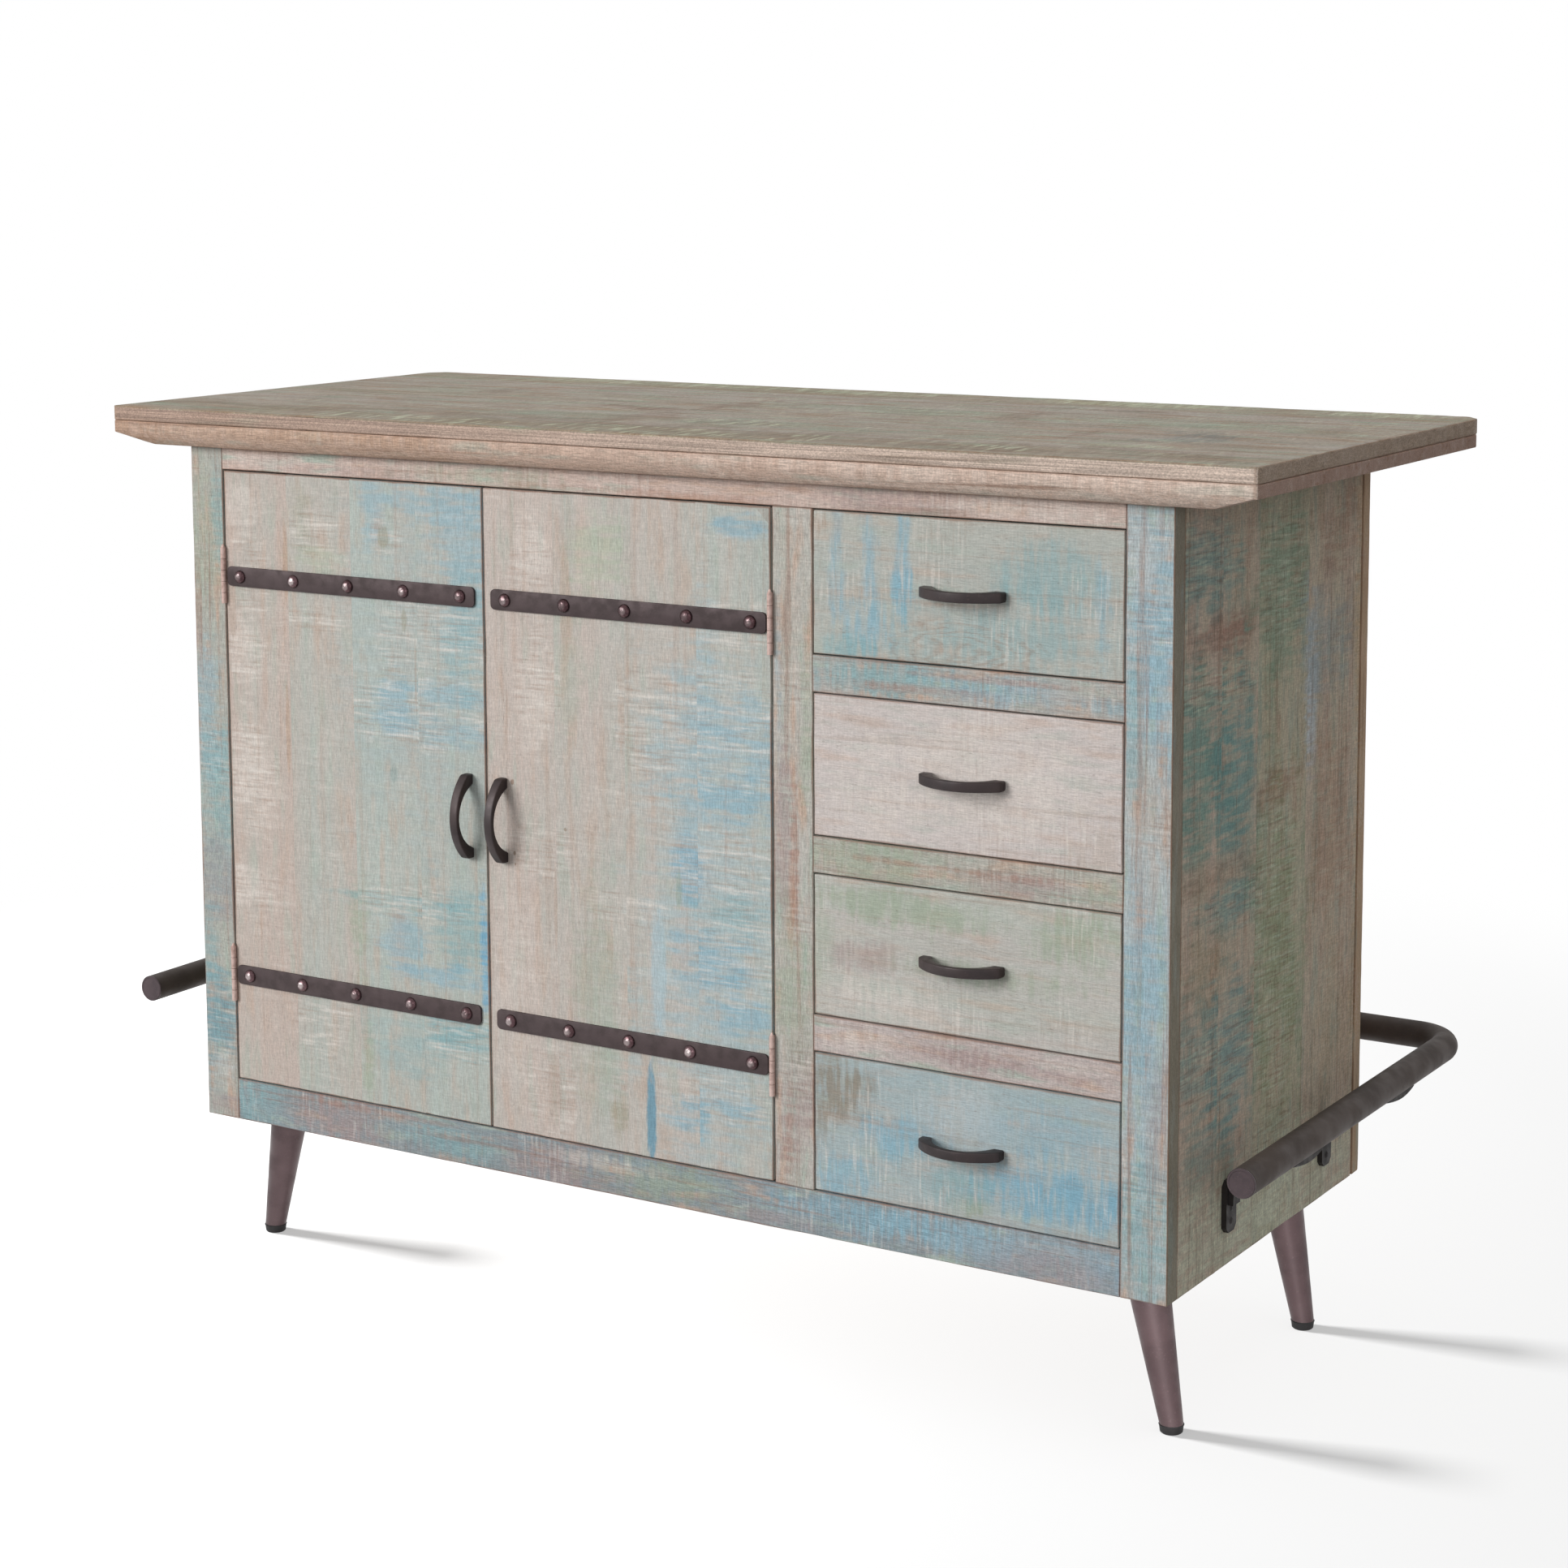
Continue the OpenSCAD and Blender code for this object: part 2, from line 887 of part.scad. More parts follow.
module catch_strike(x0) {
    high = door_z0 + door_h - strike_inset;
    color(rivet_steel)
        in_cabinet()
            block([x0, door_t, high - strike_h], [x0 + strike_w, door_t + strike_t, high]);
}

module catch_strike_left() {
    catch_strike(door_left_x + door_w - strike_inset - strike_w);
}

module catch_strike_right() {
    catch_strike(door_right_x + strike_inset);
}

// --- Drawers ---

module drawer_front(n, tint) {
    color(tint)
        in_cabinet()
            difference() {
                block(
                    [draw_x0 + front_gap, 0, drawer_z(n) + front_gap],
                    [draw_x1 - front_gap, door_t, drawer_z(n) + drawer_h - front_gap]
                );
                at_drawer_pull(n)
                    pull_holes();
            }
}

module at_drawer_pull(n) {
    translate([(draw_x0 + draw_x1) / 2, 0, drawer_z(n) + drawer_h / 2])
        children();
}

module drawer_front_1() {
    drawer_front(1, paint_blue);
}

module drawer_front_2() {
    drawer_front(2, paint_cream);
}

module drawer_front_3() {
    drawer_front(3, paint_green);
}

module drawer_front_4() {
    drawer_front(4, paint_blue);
}

// Two sides, a back between them and a bottom that lies between all three and the front
module drawer_box(n) {
    z0 = drawer_z(n) + runner_rise + runner_play;
    z1 = z0 + box_h;
    bottom_z = z0 + bottom_rise;
    left = box_x0 + box_t + board_gap;
    right = box_x1 - box_t - board_gap;
    back_y0 = box_d - box_t;
    color(bare_wood)
        in_cabinet() {
            for (x = [box_x0, box_x1 - box_t])
                block([x, door_t, z0], [x + box_t, box_d, z1]);
            block([left, back_y0, z0], [right, box_d, z1]);
            block(
                [left, door_t, bottom_z],
                [right, back_y0 - board_gap, bottom_z + box_bottom_t]
            );
        }
}

module drawer_box_1() {
    drawer_box(1);
}

module drawer_box_2() {
    drawer_box(2);
}

module drawer_box_3() {
    drawer_box(3);
}

module drawer_box_4() {
    drawer_box(4);
}

module drawer_pull(n) {
    in_cabinet()
        at_drawer_pull(n)
            bow_pull();
}

module drawer_pull_1() {
    drawer_pull(1);
}

module drawer_pull_2() {
    drawer_pull(2);
}

module drawer_pull_3() {
    drawer_pull(3);
}

module drawer_pull_4() {
    drawer_pull(4);
}

// --- Legs ---

// A taper from the plate down to the pad, leaning towards -X, cut level at both ends
module leg() {
    run = leg_h - pad_h;
    spare = 8;
    widening = (leg_top_d - leg_foot_d) / run * spare;
    color(dark_iron)
        intersection() {
            translate([-leg_splay, 0, -run])
                rotate([0, leg_tilt, 0])
                    translate([0, 0, -spare])
                        cylinder(
                            d1 = leg_foot_d - widening,
                            d2 = leg_top_d + widening,
                            h = run / cos(leg_tilt) + 2 * spare,
                            $fn = 96
                        );
            block([-leg_h, -leg_h, -run], [leg_h, leg_h, 0]);
        }
}

// Places a left-hand child at both ends of the cabinet, at the given distance from the front
module leg_pair(y) {
    in_cabinet() {
        translate([leg_top_inset, y, 0])
            children();
        mirrored_x()
            translate([leg_top_inset, y, 0])
                children();
    }
}

module legs_front() {
    leg_pair(leg_inset)
        leg();
}

module legs_back() {
    leg_pair(cab_d - leg_inset)
        leg();
}

module leg_plates() {
    color(dark_iron)
        for (y = [leg_inset, cab_d - leg_inset])
            leg_pair(y)
                translate([-plate_w / 2, -plate_w / 2, 0])
                    cube([plate_w, plate_w, plate_t]);
}

module foot_pads() {
    sole_d = leg_foot_d - 1;
    rim_d = leg_foot_d + 2;
    color(pad_rubber)
        for (y = [leg_inset, cab_d - leg_inset])
            leg_pair(y)
                translate([-leg_splay, 0, -leg_h])
                    cylinder(d1 = sole_d, d2 = rim_d, h = pad_h, $fn = 64);
}

// --- Foot rail ---

// The rail's path as a solid rod of the given diameter
module rail_rod(d) {
    side_y1 = rail_back_y - rail_bend_r;
    back_x0 = -rail_off + rail_bend_r;
    for (x = [-rail_off, cab_w + rail_off])
        translate([x, side_y1, rail_z])
            rotate([90, 0, 0])
                cylinder(d = d, h = side_y1 + rail_end, $fn = 64);
    translate([back_x0, rail_back_y, rail_z])
        rotate([0, 90, 0])
            cylinder(d = d, h = cab_w - 2 * back_x0, $fn = 64);
    translate([back_x0, side_y1, rail_z])
        rail_bend(d, 90);
    translate([cab_w - back_x0, side_y1, rail_z])
        rail_bend(d, 0);
}

module rail_bend(d, turn) {
    rotate([0, 0, turn])
        rotate_extrude(angle = 90, $fn = 96)
            translate([rail_bend_r, 0])
                circle(d = d, $fn = 64);
}

module foot_rail() {
    color(dark_iron)
        in_cabinet()
            difference() {
                rail_rod(rail_d);
                rail_rod(rail_d - 2 * rail_wall);
            }
}

module rail_end_caps() {
    plug_l = 8;
    plug_d = rail_d - 2 * rail_wall - 0.6;
    color(dark_iron)
        in_cabinet()
            for (x = [-rail_off, cab_w + rail_off])
                translate([x, -rail_end, rail_z])
                    rotate([90, 0, 0]) {
                        cylinder(d = rail_d, h = cap_t, $fn = 64);
                        translate([0, 0, -plug_l])
                            cylinder(d = plug_d, h = plug_l, $fn = 64);
                    }
}

// A bracket on a face that looks towards -X: a plate with clipped corners, a bar that bends
// outwards from the plate's top, and a saddle under the rail
module bracket() {
    arm_top = rail_z - rail_d / 2 + rail_saddle;
    arm_foot = 8;
    bend_z = arm_top - arm_bend_r;
    arm_end = -rail_off - arm_past_rail;
    difference() {
        union() {
            bracket_plate();
            block(
                [-2 * bracket_t, -arm_w / 2, bend_z - arm_foot],
                [-bracket_t, arm_w / 2, bend_z]
            );
            translate([-bracket_t - arm_bend_r, arm_w / 2, bend_z])
                rotate([90, 0, 0])
                    arm_bend(arm_bend_r);
            block(
                [arm_end, -arm_w / 2, arm_top - bracket_t],
                [-bracket_t - arm_bend_r, arm_w / 2, arm_top]
            );
            translate([-rail_off, 0, rail_z])
                saddle();
        }
        translate([-rail_off, saddle_l, rail_z])
            rotate([90, 0, 0])
                cylinder(d = rail_d, h = 2 * saddle_l, $fn = 64);
    }
}

// The saddle before the rail is cut from it: the lowest strip of a barrel around the rail
module saddle() {
    half_w = 11;
    half_l = saddle_l / 2;
    rail_r = rail_d / 2;
    bulge = saddle_t - saddle_rim_t;
    arc_r = (half_l * half_l + bulge * bulge) / (2 * bulge);
    arc_a = asin(half_l / arc_r);
    steps = 5;
    barrel = [
        for (n = [-steps : steps])
            let (a = arc_a * n / steps)
            [rail_r + saddle_t - arc_r * (1 - cos(a)), arc_r * sin(a)]
    ];
    intersection() {
        rotate([90, 0, 0])
            rotate_extrude($fn = 64)
                polygon(concat(barrel, [[rail_r / 2, half_l], [rail_r / 2, -half_l]]));
        block([-half_w, -half_l, -rail_d], [half_w, half_l, -rail_r / 2]);
    }
}

// The quarter bend of the bracket's bar
module arm_bend(r) {
    linear_extrude(arm_w)
        difference() {
            intersection() {
                circle(r = r, $fn = 64);
                square([r, r]);
            }
            circle(r = r - bracket_t, $fn = 64);
        }
}

module bracket_plate() {
    clip = 6;
    half = bracket_w / 2;
    outline = [
        [-half, clip], [-half + clip, 0], [half - clip, 0], [half, clip],
        [half, bracket_l - clip], [half - clip, bracket_l],
        [-half + clip, bracket_l], [-half, bracket_l - clip]
    ];
    translate([0, 0, bracket_z])
        rotate([90, 0, -90])
            linear_extrude(bracket_t)
                polygon(outline);
}

// Places a left-side child at every bracket position
module at_brackets() {
    in_cabinet() {
        for (y = [bracket_front_y, bracket_rear_y]) {
            translate([0, y, 0])
                children();
            mirrored_x()
                translate([0, y, 0])
                    children();
        }
        for (x = [bracket_back_x, cab_w - bracket_back_x])
            translate([x, cab_d, 0])
                rotate([0, 0, -90])
                    children();
    }
}

module rail_brackets() {
    color(dark_iron)
        at_brackets()
            bracket();
}

module screw_head() {
    cylinder(d1 = screw_head_d, d2 = screw_d, h = screw_head_h, $fn = 32);
}

// Two screws in each bracket plate and four in each leg plate
module fixing_screws() {
    plate_pitch = plate_w / 2 - plate_screw_inset;
    color(rivet_steel) {
        at_brackets()
            for (z = bracket_screws_z)
                translate([-bracket_t, 0, z])
                    rotate([0, -90, 0])
                        screw_head();
        for (y = [leg_inset, cab_d - leg_inset])
            leg_pair(y)
                for (sx = [-1, 1])
                    for (sy = [-1, 1])
                        translate([sx * plate_pitch, sy * plate_pitch, 0])
                            rotate([180, 0, 0])
                                screw_head();
    }
}

worktop_boards();
worktop_underlayer();
stile_left();
stile_middle();
stile_right();
rail_top();
rail_bottom();
drawer_rail_1();
drawer_rail_2();
drawer_rail_3();
side_panel_left();
side_panel_right();
back_stiles();
back_rails();
back_panel();
floor_panel();
partition();
cupboard_shelf();
shelf_cleats();
worktop_cleats();
drawer_runners();
leg_bearers();
door_left();
door_right();
door_battens_left();
door_battens_right();
straps_left();
straps_right();
rivets_left();
rivets_right();
door_pull_left();
door_pull_right();
hinge_frame_leaves();
hinge_pins();
hinge_door_leaves_left();
hinge_door_leaves_right();
door_catch();
catch_strike_left();
catch_strike_right();
drawer_front_1();
drawer_front_2();
drawer_front_3();
drawer_front_4();
drawer_box_1();
drawer_box_2();
drawer_box_3();
drawer_box_4();
drawer_pull_1();
drawer_pull_2();
drawer_pull_3();
drawer_pull_4();
legs_front();
legs_back();
leg_plates();
foot_pads();
foot_rail();
rail_end_caps();
rail_brackets();
fixing_screws();
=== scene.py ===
import json
import math

import bmesh
import bpy
from mathutils import Matrix, Vector, noise

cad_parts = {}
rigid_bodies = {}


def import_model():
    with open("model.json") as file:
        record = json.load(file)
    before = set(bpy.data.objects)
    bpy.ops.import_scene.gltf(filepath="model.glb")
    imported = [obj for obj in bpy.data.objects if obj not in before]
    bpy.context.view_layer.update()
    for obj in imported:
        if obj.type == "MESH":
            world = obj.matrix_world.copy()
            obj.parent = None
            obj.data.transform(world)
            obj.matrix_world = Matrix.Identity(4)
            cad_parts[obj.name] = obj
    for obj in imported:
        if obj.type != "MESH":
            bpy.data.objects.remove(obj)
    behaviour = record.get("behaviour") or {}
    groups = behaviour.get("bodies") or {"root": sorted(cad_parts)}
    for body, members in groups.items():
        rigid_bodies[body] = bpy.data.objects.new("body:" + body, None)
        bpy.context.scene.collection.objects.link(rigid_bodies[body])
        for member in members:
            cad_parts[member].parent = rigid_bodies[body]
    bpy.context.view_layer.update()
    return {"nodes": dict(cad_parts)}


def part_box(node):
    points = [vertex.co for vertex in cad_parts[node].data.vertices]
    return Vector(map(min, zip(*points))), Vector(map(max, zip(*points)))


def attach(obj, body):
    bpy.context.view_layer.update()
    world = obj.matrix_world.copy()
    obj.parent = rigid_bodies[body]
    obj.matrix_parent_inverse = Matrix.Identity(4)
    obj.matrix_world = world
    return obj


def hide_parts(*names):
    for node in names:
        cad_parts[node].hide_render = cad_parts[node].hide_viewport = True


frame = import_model()

# ---------------------------------------------------------------------------------------------
# Worktop boards. Six reclaimed mango boards lie side by side along the island and are glued down.
# They were sawn, sanded over old paint and waxed, so scraps of it are left in the saw marks.
# ---------------------------------------------------------------------------------------------

# All patterns are placed in millimetres from the cabinet's lower front left corner.
corner_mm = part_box("stile_left")[0] * 1000


def colour(hex_text):
    """An sRGB hex colour as linear red, green, blue and alpha."""
    parts = [int(hex_text[n:n + 2], 16) / 255 for n in (1, 3, 5)]
    return [p / 12.92 if p <= 0.04045 else ((p + 0.055) / 1.055) ** 2.4 for p in parts] + [1.0]


def add(tree, kind, inputs=None, **settings):
    """Adds one node; an input takes a value or the socket of another node."""
    node = tree.nodes.new("ShaderNode" + kind)
    for name, value in settings.items():
        setattr(node, name, value)
    for name, value in (inputs or {}).items():
        if isinstance(value, bpy.types.NodeSocket):
            tree.links.new(value, node.inputs[name])
        else:
            node.inputs[name].default_value = value
    return node


def new_material(name):
    """An empty material, its tree and the place of a point in cabinet millimetres."""
    material = bpy.data.materials.new(name)
    material.use_nodes = True
    tree = material.node_tree
    tree.nodes.clear()
    here = add(tree, "TexCoord").outputs["Object"]
    place = add(
        tree, "VectorMath", {0: here, 1: (1000, 1000, 1000), 2: -corner_mm}, operation="MULTIPLY_ADD"
    )
    return material, tree, place.outputs[0]


def close_material(tree, inputs):
    """Ends a tree with its surface shader and the output."""
    surface = add(tree, "BsdfPrincipled", inputs)
    add(tree, "OutputMaterial", {"Surface": surface.outputs[0]})


def streaks(tree, place, grain, along, across, detail=2.0, twist=0.0):
    """Noise drawn out along the grain; along and across are the size of one streak in mm."""
    size = [1 / (along if axis == grain else across) for axis in "xyz"]
    drawn = add(tree, "Mapping", {"Vector": place, "Scale": size})
    cloud = add(
        tree, "TexNoise",
        {"Vector": drawn.outputs[0], "Scale": 1.0, "Detail": detail, "Distortion": twist},
    )
    return cloud.outputs[0]


def ramp(tree, value, low, high, floor=0.0, ceiling=1.0):
    """Carries a value from low..high to floor..ceiling, softly and without overshoot."""
    node = add(
        tree, "MapRange",
        {"Value": value, "From Min": low, "From Max": high, "To Min": floor, "To Max": ceiling},
        interpolation_type="SMOOTHSTEP",
    )
    return node.outputs[0]


def blend(tree, share, first, second, kind="MIX"):
    """Mixes two colours."""
    node = add(tree, "Mix", {0: share, 6: first, 7: second}, data_type="RGBA", blend_type=kind)
    return node.outputs[2]


def sums(tree, first, second, operation="MULTIPLY"):
    """Joins two numbers."""
    return add(tree, "Math", {0: first, 1: second}, operation=operation).outputs[0]


def distance(tree, place, face, centre, reach):
    """How far a point lies from a centre on a board's face, where 1 is the edge of its reach."""
    offset, size = [0, 0, 0], [0, 0, 0]
    for axis, middle, half in zip(face, centre, reach):
        offset["xyz".index(axis)] = -middle / half
        size["xyz".index(axis)] = 1 / half
    away = add(tree, "VectorMath", {0: place, 1: size, 2: offset}, operation="MULTIPLY_ADD")
    away = add(tree, "VectorMath", {0: away.outputs[0]}, operation="LENGTH")
    return away.outputs["Value"]


def timber(name, grounds, grain, face, washes=(), lime="#d9d2ca", lime_share=0.3, bare="#8b6552",
           bare_share=0.6, saw_pitch=3.6, saw_depth=0.8, figure="#9a7f6e", figure_share=0.3,
           slant=0.0, heart=None, dark=0.2, stain="#bd9f8b", bloom="#a5b3a7", flanks=(),
           sawn=(), knots=(), contrast=1.0, hue=1.0, fibre_l=15, kerf_share=0.0):
    """Old painted and limed mango wood. grounds are the two base colours. washes are leftover
    paint, (hex, centre, reach, share), knots the same with a plain edge, and sawn is where the
    saw marks are deepest, (centre, reach), with centres and reaches in mm on the board's face.
    flanks are colours of other faces, (left hex, right hex, axis, where it starts, where full)."""
    material, tree, place = new_material(name)
    board = add(tree, "Attribute", attribute_name="board")
    tone = add(tree, "Attribute", attribute_name="tone").outputs["Fac"]
    edge = add(tree, "Attribute", attribute_name="edge").outputs["Fac"]
    # Each board was cut from another tree, so its pattern is taken from elsewhere.
    own = add(
        tree, "VectorMath", {0: board.outputs["Vector"], 1: (7100, 5300, 9700), 2: place},
        operation="MULTIPLY_ADD",
    ).outputs[0]
    cross = [axis for axis in face if axis != grain][0]
    tilt = [0, 0, 0]
    tilt["xyz".index([axis for axis in "xyz" if axis not in face][0])] = slant
    tilted = add(tree, "Mapping", {"Vector": own, "Rotation": tilt}).outputs[0]
    fibre = streaks(tree, own, grain, fibre_l, 1.1, 3.0)
    mottle = streaks(tree, own, grain, 16, 5, 4.0)
    drifts = streaks(tree, own, grain, 85, 15, 3.0)
    speck = streaks(tree, own, grain, 2.8, 1.5, 2.0)
    rings = streaks(tree, own, grain, 330, 8, 3.0, 0.6)
    bands = streaks(tree, own, grain, 800, 34, 2.0)
    clouds = streaks(tree, own, grain, 95, 42, 5.0)
    strokes = streaks(tree, tilted, cross, 46, 8, 2.5)
    marks = streaks(tree, tilted, cross, 44, saw_pitch, 2.0)
    weave = streaks(tree, tilted, cross, 12, 1.7, 1.0)
    marked = streaks(tree, own, cross, 110, 80, 2.0)
    along = add(tree, "SeparateXYZ", {0: own}).outputs["xyz".index(grain)]

    # Two base colours lie in long soft bands, under a rust stain and a green bloom.
    share = add(tree, "Math", {0: bands, 1: 1.5, 2: -0.75}, operation="MULTIPLY_ADD").outputs[0]
    share = add(tree, "Math", {0: share, 1: tone}, operation="ADD", use_clamp=True).outputs[0]
    paint = blend(tree, share, colour(grounds[0]), colour(grounds[1]))
    paint = blend(tree, ramp(tree, drifts, 0.5, 0.74, 0, 0.56 * hue), paint, colour(stain))
    paint = blend(tree, ramp(tree, drifts, 0.48, 0.28, 0, 0.56 * hue), paint, colour(bloom))
    paint = blend(tree, ramp(tree, mottle, 0.5, 0.74, 0, 0.12 * hue), paint, colour(stain))
    paint = blend(tree, ramp(tree, mottle, 0.47, 0.28, 0, 0.11 * hue), paint, colour(bloom))

    # Leftover paint has tattered edges, broken by clouds and by the strokes of the saw.
    tatter = add(tree, "Math", {0: strokes, 1: 1.8, 2: -0.9}, operation="MULTIPLY_ADD").outputs[0]
    tatter = add(tree, "Math", {0: clouds, 1: 2.2, 2: tatter}, operation="MULTIPLY_ADD").outputs[0]
    tatter = add(tree, "Math", {0: mottle, 1: 0.7, 2: tatter}, operation="MULTIPLY_ADD").outputs[0]
    scraped = ramp(tree, strokes, 0.36, 0.56, 0.5, 1)
    for hex_text, centre, reach, strength in washes:
        away = distance(tree, place, face, centre, reach)
        depth = sums(tree, tatter, away, "SUBTRACT")
        cover = sums(tree, ramp(tree, depth, -0.05, 1.15, 0, strength), scraped)
        paint = blend(tree, cover, paint, colour(hex_text))

    # White lime stays in some of the saw marks, and dark wax in others.
    patch = ramp(tree, marked, 0.45, 0.65, 0.05, 0.4 if sawn else 1.0)
    for centre, reach in sawn:
        away = distance(tree, place, face, centre, reach)
        away = add(tree, "Math", {0: clouds, 1: -1.0, 2: away}, operation="MULTIPLY_ADD").outputs[0]
        patch = sums(tree, patch, ramp(tree, away, 0.7, 0.35), "MAXIMUM")
    kept = sums(tree, ramp(tree, marks, 0.49, 0.72), sums(tree, patch, lime_share))
    paint = blend(tree, kept, paint, colour(lime))
    waxed = sums(tree, ramp(tree, marks, 0.46, 0.32), sums(tree, patch, dark))
    paint = blend(tree, waxed, paint, colour(figure))
    # At every stroke the saw blade stopped and left one longer and deeper kerf, full of lime.
    kerf_pitch = 40
    stroke = add(tree, "Math", {0: marked, 1: 12, 2: along}, operation="MULTIPLY_ADD").outputs[0]
    stroke = add(tree, "Math", {0: mottle, 1: 1.2, 2: stroke}, operation="MULTIPLY_ADD").outputs[0]
    stroke = sums(tree, stroke, kerf_pitch / 2, "PINGPONG")
    kerf = add(
        tree, "Math", {0: ramp(tree, stroke, 9, 0, 0, 0.35), 1: ramp(tree, stroke, 2.2, 0.8, 0, 0.6)},
        operation="ADD",
    ).outputs[0]
    kerf = sums(tree, kerf, sums(tree, ramp(tree, strokes, 0.42, 0.6), sums(tree, patch, kerf_share)))
    paint = blend(tree, kerf, paint, colour(lime))

    for left_hex, right_hex, axis, start, full in flanks:
        spread = add(tree, "SeparateXYZ", {0: place}).outputs
        tint = blend(tree, ramp(tree, spread[0], 0, 1344), colour(left_hex), colour(right_hex))
        cover = sums(tree, ramp(tree, spread[axis], start, full), ramp(tree, drifts, 0.3, 0.5, 0.75, 1))
        paint = blend(tree, cover, paint, tint)

    # Growth rings, knots and fibres show through the thin paint.
    paint = blend(tree, ramp(tree, rings, 0.54, 0.74, 0, figure_share), paint, colour(figure))
    if heart:
        centre, reach, pitch = heart
        away = distance(tree, place, face, centre, reach)
        near = ramp(tree, away, 1.1, 0.8)
        away = add(tree, "Math", {0: drifts, 1: 0.8, 2: away}, operation="MULTIPLY_ADD").outputs[0]
        arcs = add(tree, "Math", {0: away, 1: pitch}, operation="PINGPONG").outputs[0]
        arcs = sums(tree, ramp(tree, arcs, pitch * 0.6, pitch * 0.1, 0, 0.34), near)
        paint = blend(tree, sums(tree, arcs, ramp(tree, mottle, 0.3, 0.55)), paint, colour(figure))
    for hex_text, centre, reach, strength in knots:
        away = distance(tree, place, face, centre, reach)
        away = add(tree, "Math", {0: mottle, 1: 0.9, 2: away}, operation="MULTIPLY_ADD").outputs[0]
        paint = blend(tree, ramp(tree, away, 1.5, 1.0, 0, strength), paint, colour(hex_text))
    light = 0.13 * contrast
    level = add(tree, "Math", {0: ramp(tree, fibre, 0.3, 0.7, -light, 0.7 * light), 1: 1.0}).outputs[0]
    level = sums(tree, level, ramp(tree, speck, 0.3, 0.7, 1 - 0.5 * light, 1 + 0.5 * light))
    level = sums(tree, level, ramp(tree, weave, 0.3, 0.7, 1 - 0.35 * light, 1 + 0.35 * light))
    grey = add(tree, "CombineColor", {n: level for n in range(3)}).outputs[0]
    paint = blend(tree, 1.0, paint, grey, "MULTIPLY")
    pores = ramp(tree, streaks(tree, own, grain, 7, 1.6, 1.0), 0.69, 0.77, 0, 0.3)
    paint = blend(tree, pores, paint, colour("#6d5a4c"))

    # Hands and knocks took the paint off the arrises down to the red-brown wood.
    worn = add(tree, "Math", {0: clouds, 1: -6.0, 2: edge}, operation="MULTIPLY_ADD").outputs[0]
    worn = sums(tree, ramp(tree, worn, -0.8, -2.7, 0, bare_share), ramp(tree, edge, 3.8, 0.8))
    paint = blend(tree, worn, paint, colour(bare))

    relief = add(tree, "Math", {0: marks, 1: saw_depth, 2: fibre}, operation="MULTIPLY_ADD").outputs[0]
    relief = add(tree, "Math", {0: rings, 1: 0.6, 2: relief}, operation="MULTIPLY_ADD").outputs[0]
    bump = add(tree, "Bump", {"Height": relief, "Distance": 0.001, "Strength": 0.4})
    close_material(tree, {
        "Base Color": paint,
        "Roughness": ramp(tree, clouds, 0.35, 0.65, 0.62, 0.8),
        "Specular IOR Level": 0.3,
        "Normal": bump.outputs[0],
    })
    return material


def finished(name, verts, faces, sharp=40, turned_out=False):
    """A smooth mesh with crisp edges; turned_out turns all its faces outwards."""
    mesh = bpy.data.meshes.new(name)
    mesh.from_pydata(verts, [], faces)
    if turned_out:
        bm = bmesh.new()
        bm.from_mesh(mesh)
        bmesh.ops.recalc_face_normals(bm, faces=bm.faces)
        bm.to_mesh(mesh)
        bm.free()
    mesh.shade_smooth()
    mesh.set_sharp_from_angle(angle=math.radians(sharp))
    return mesh


def cuts(low, high, cell, lip):
    """Places of the cuts across one side of a board: close together where its edges are worn."""
    near = [0.0, 0.35 * lip, 0.8 * lip, 1.6 * lip]
    span = high - low - 2 * near[-1]
    count = max(1, round(span / cell))
    middle = [near[-1] + span * n / count for n in range(1, count)]
    return [low + c for c in near + middle] + [high - c for c in reversed(near)]


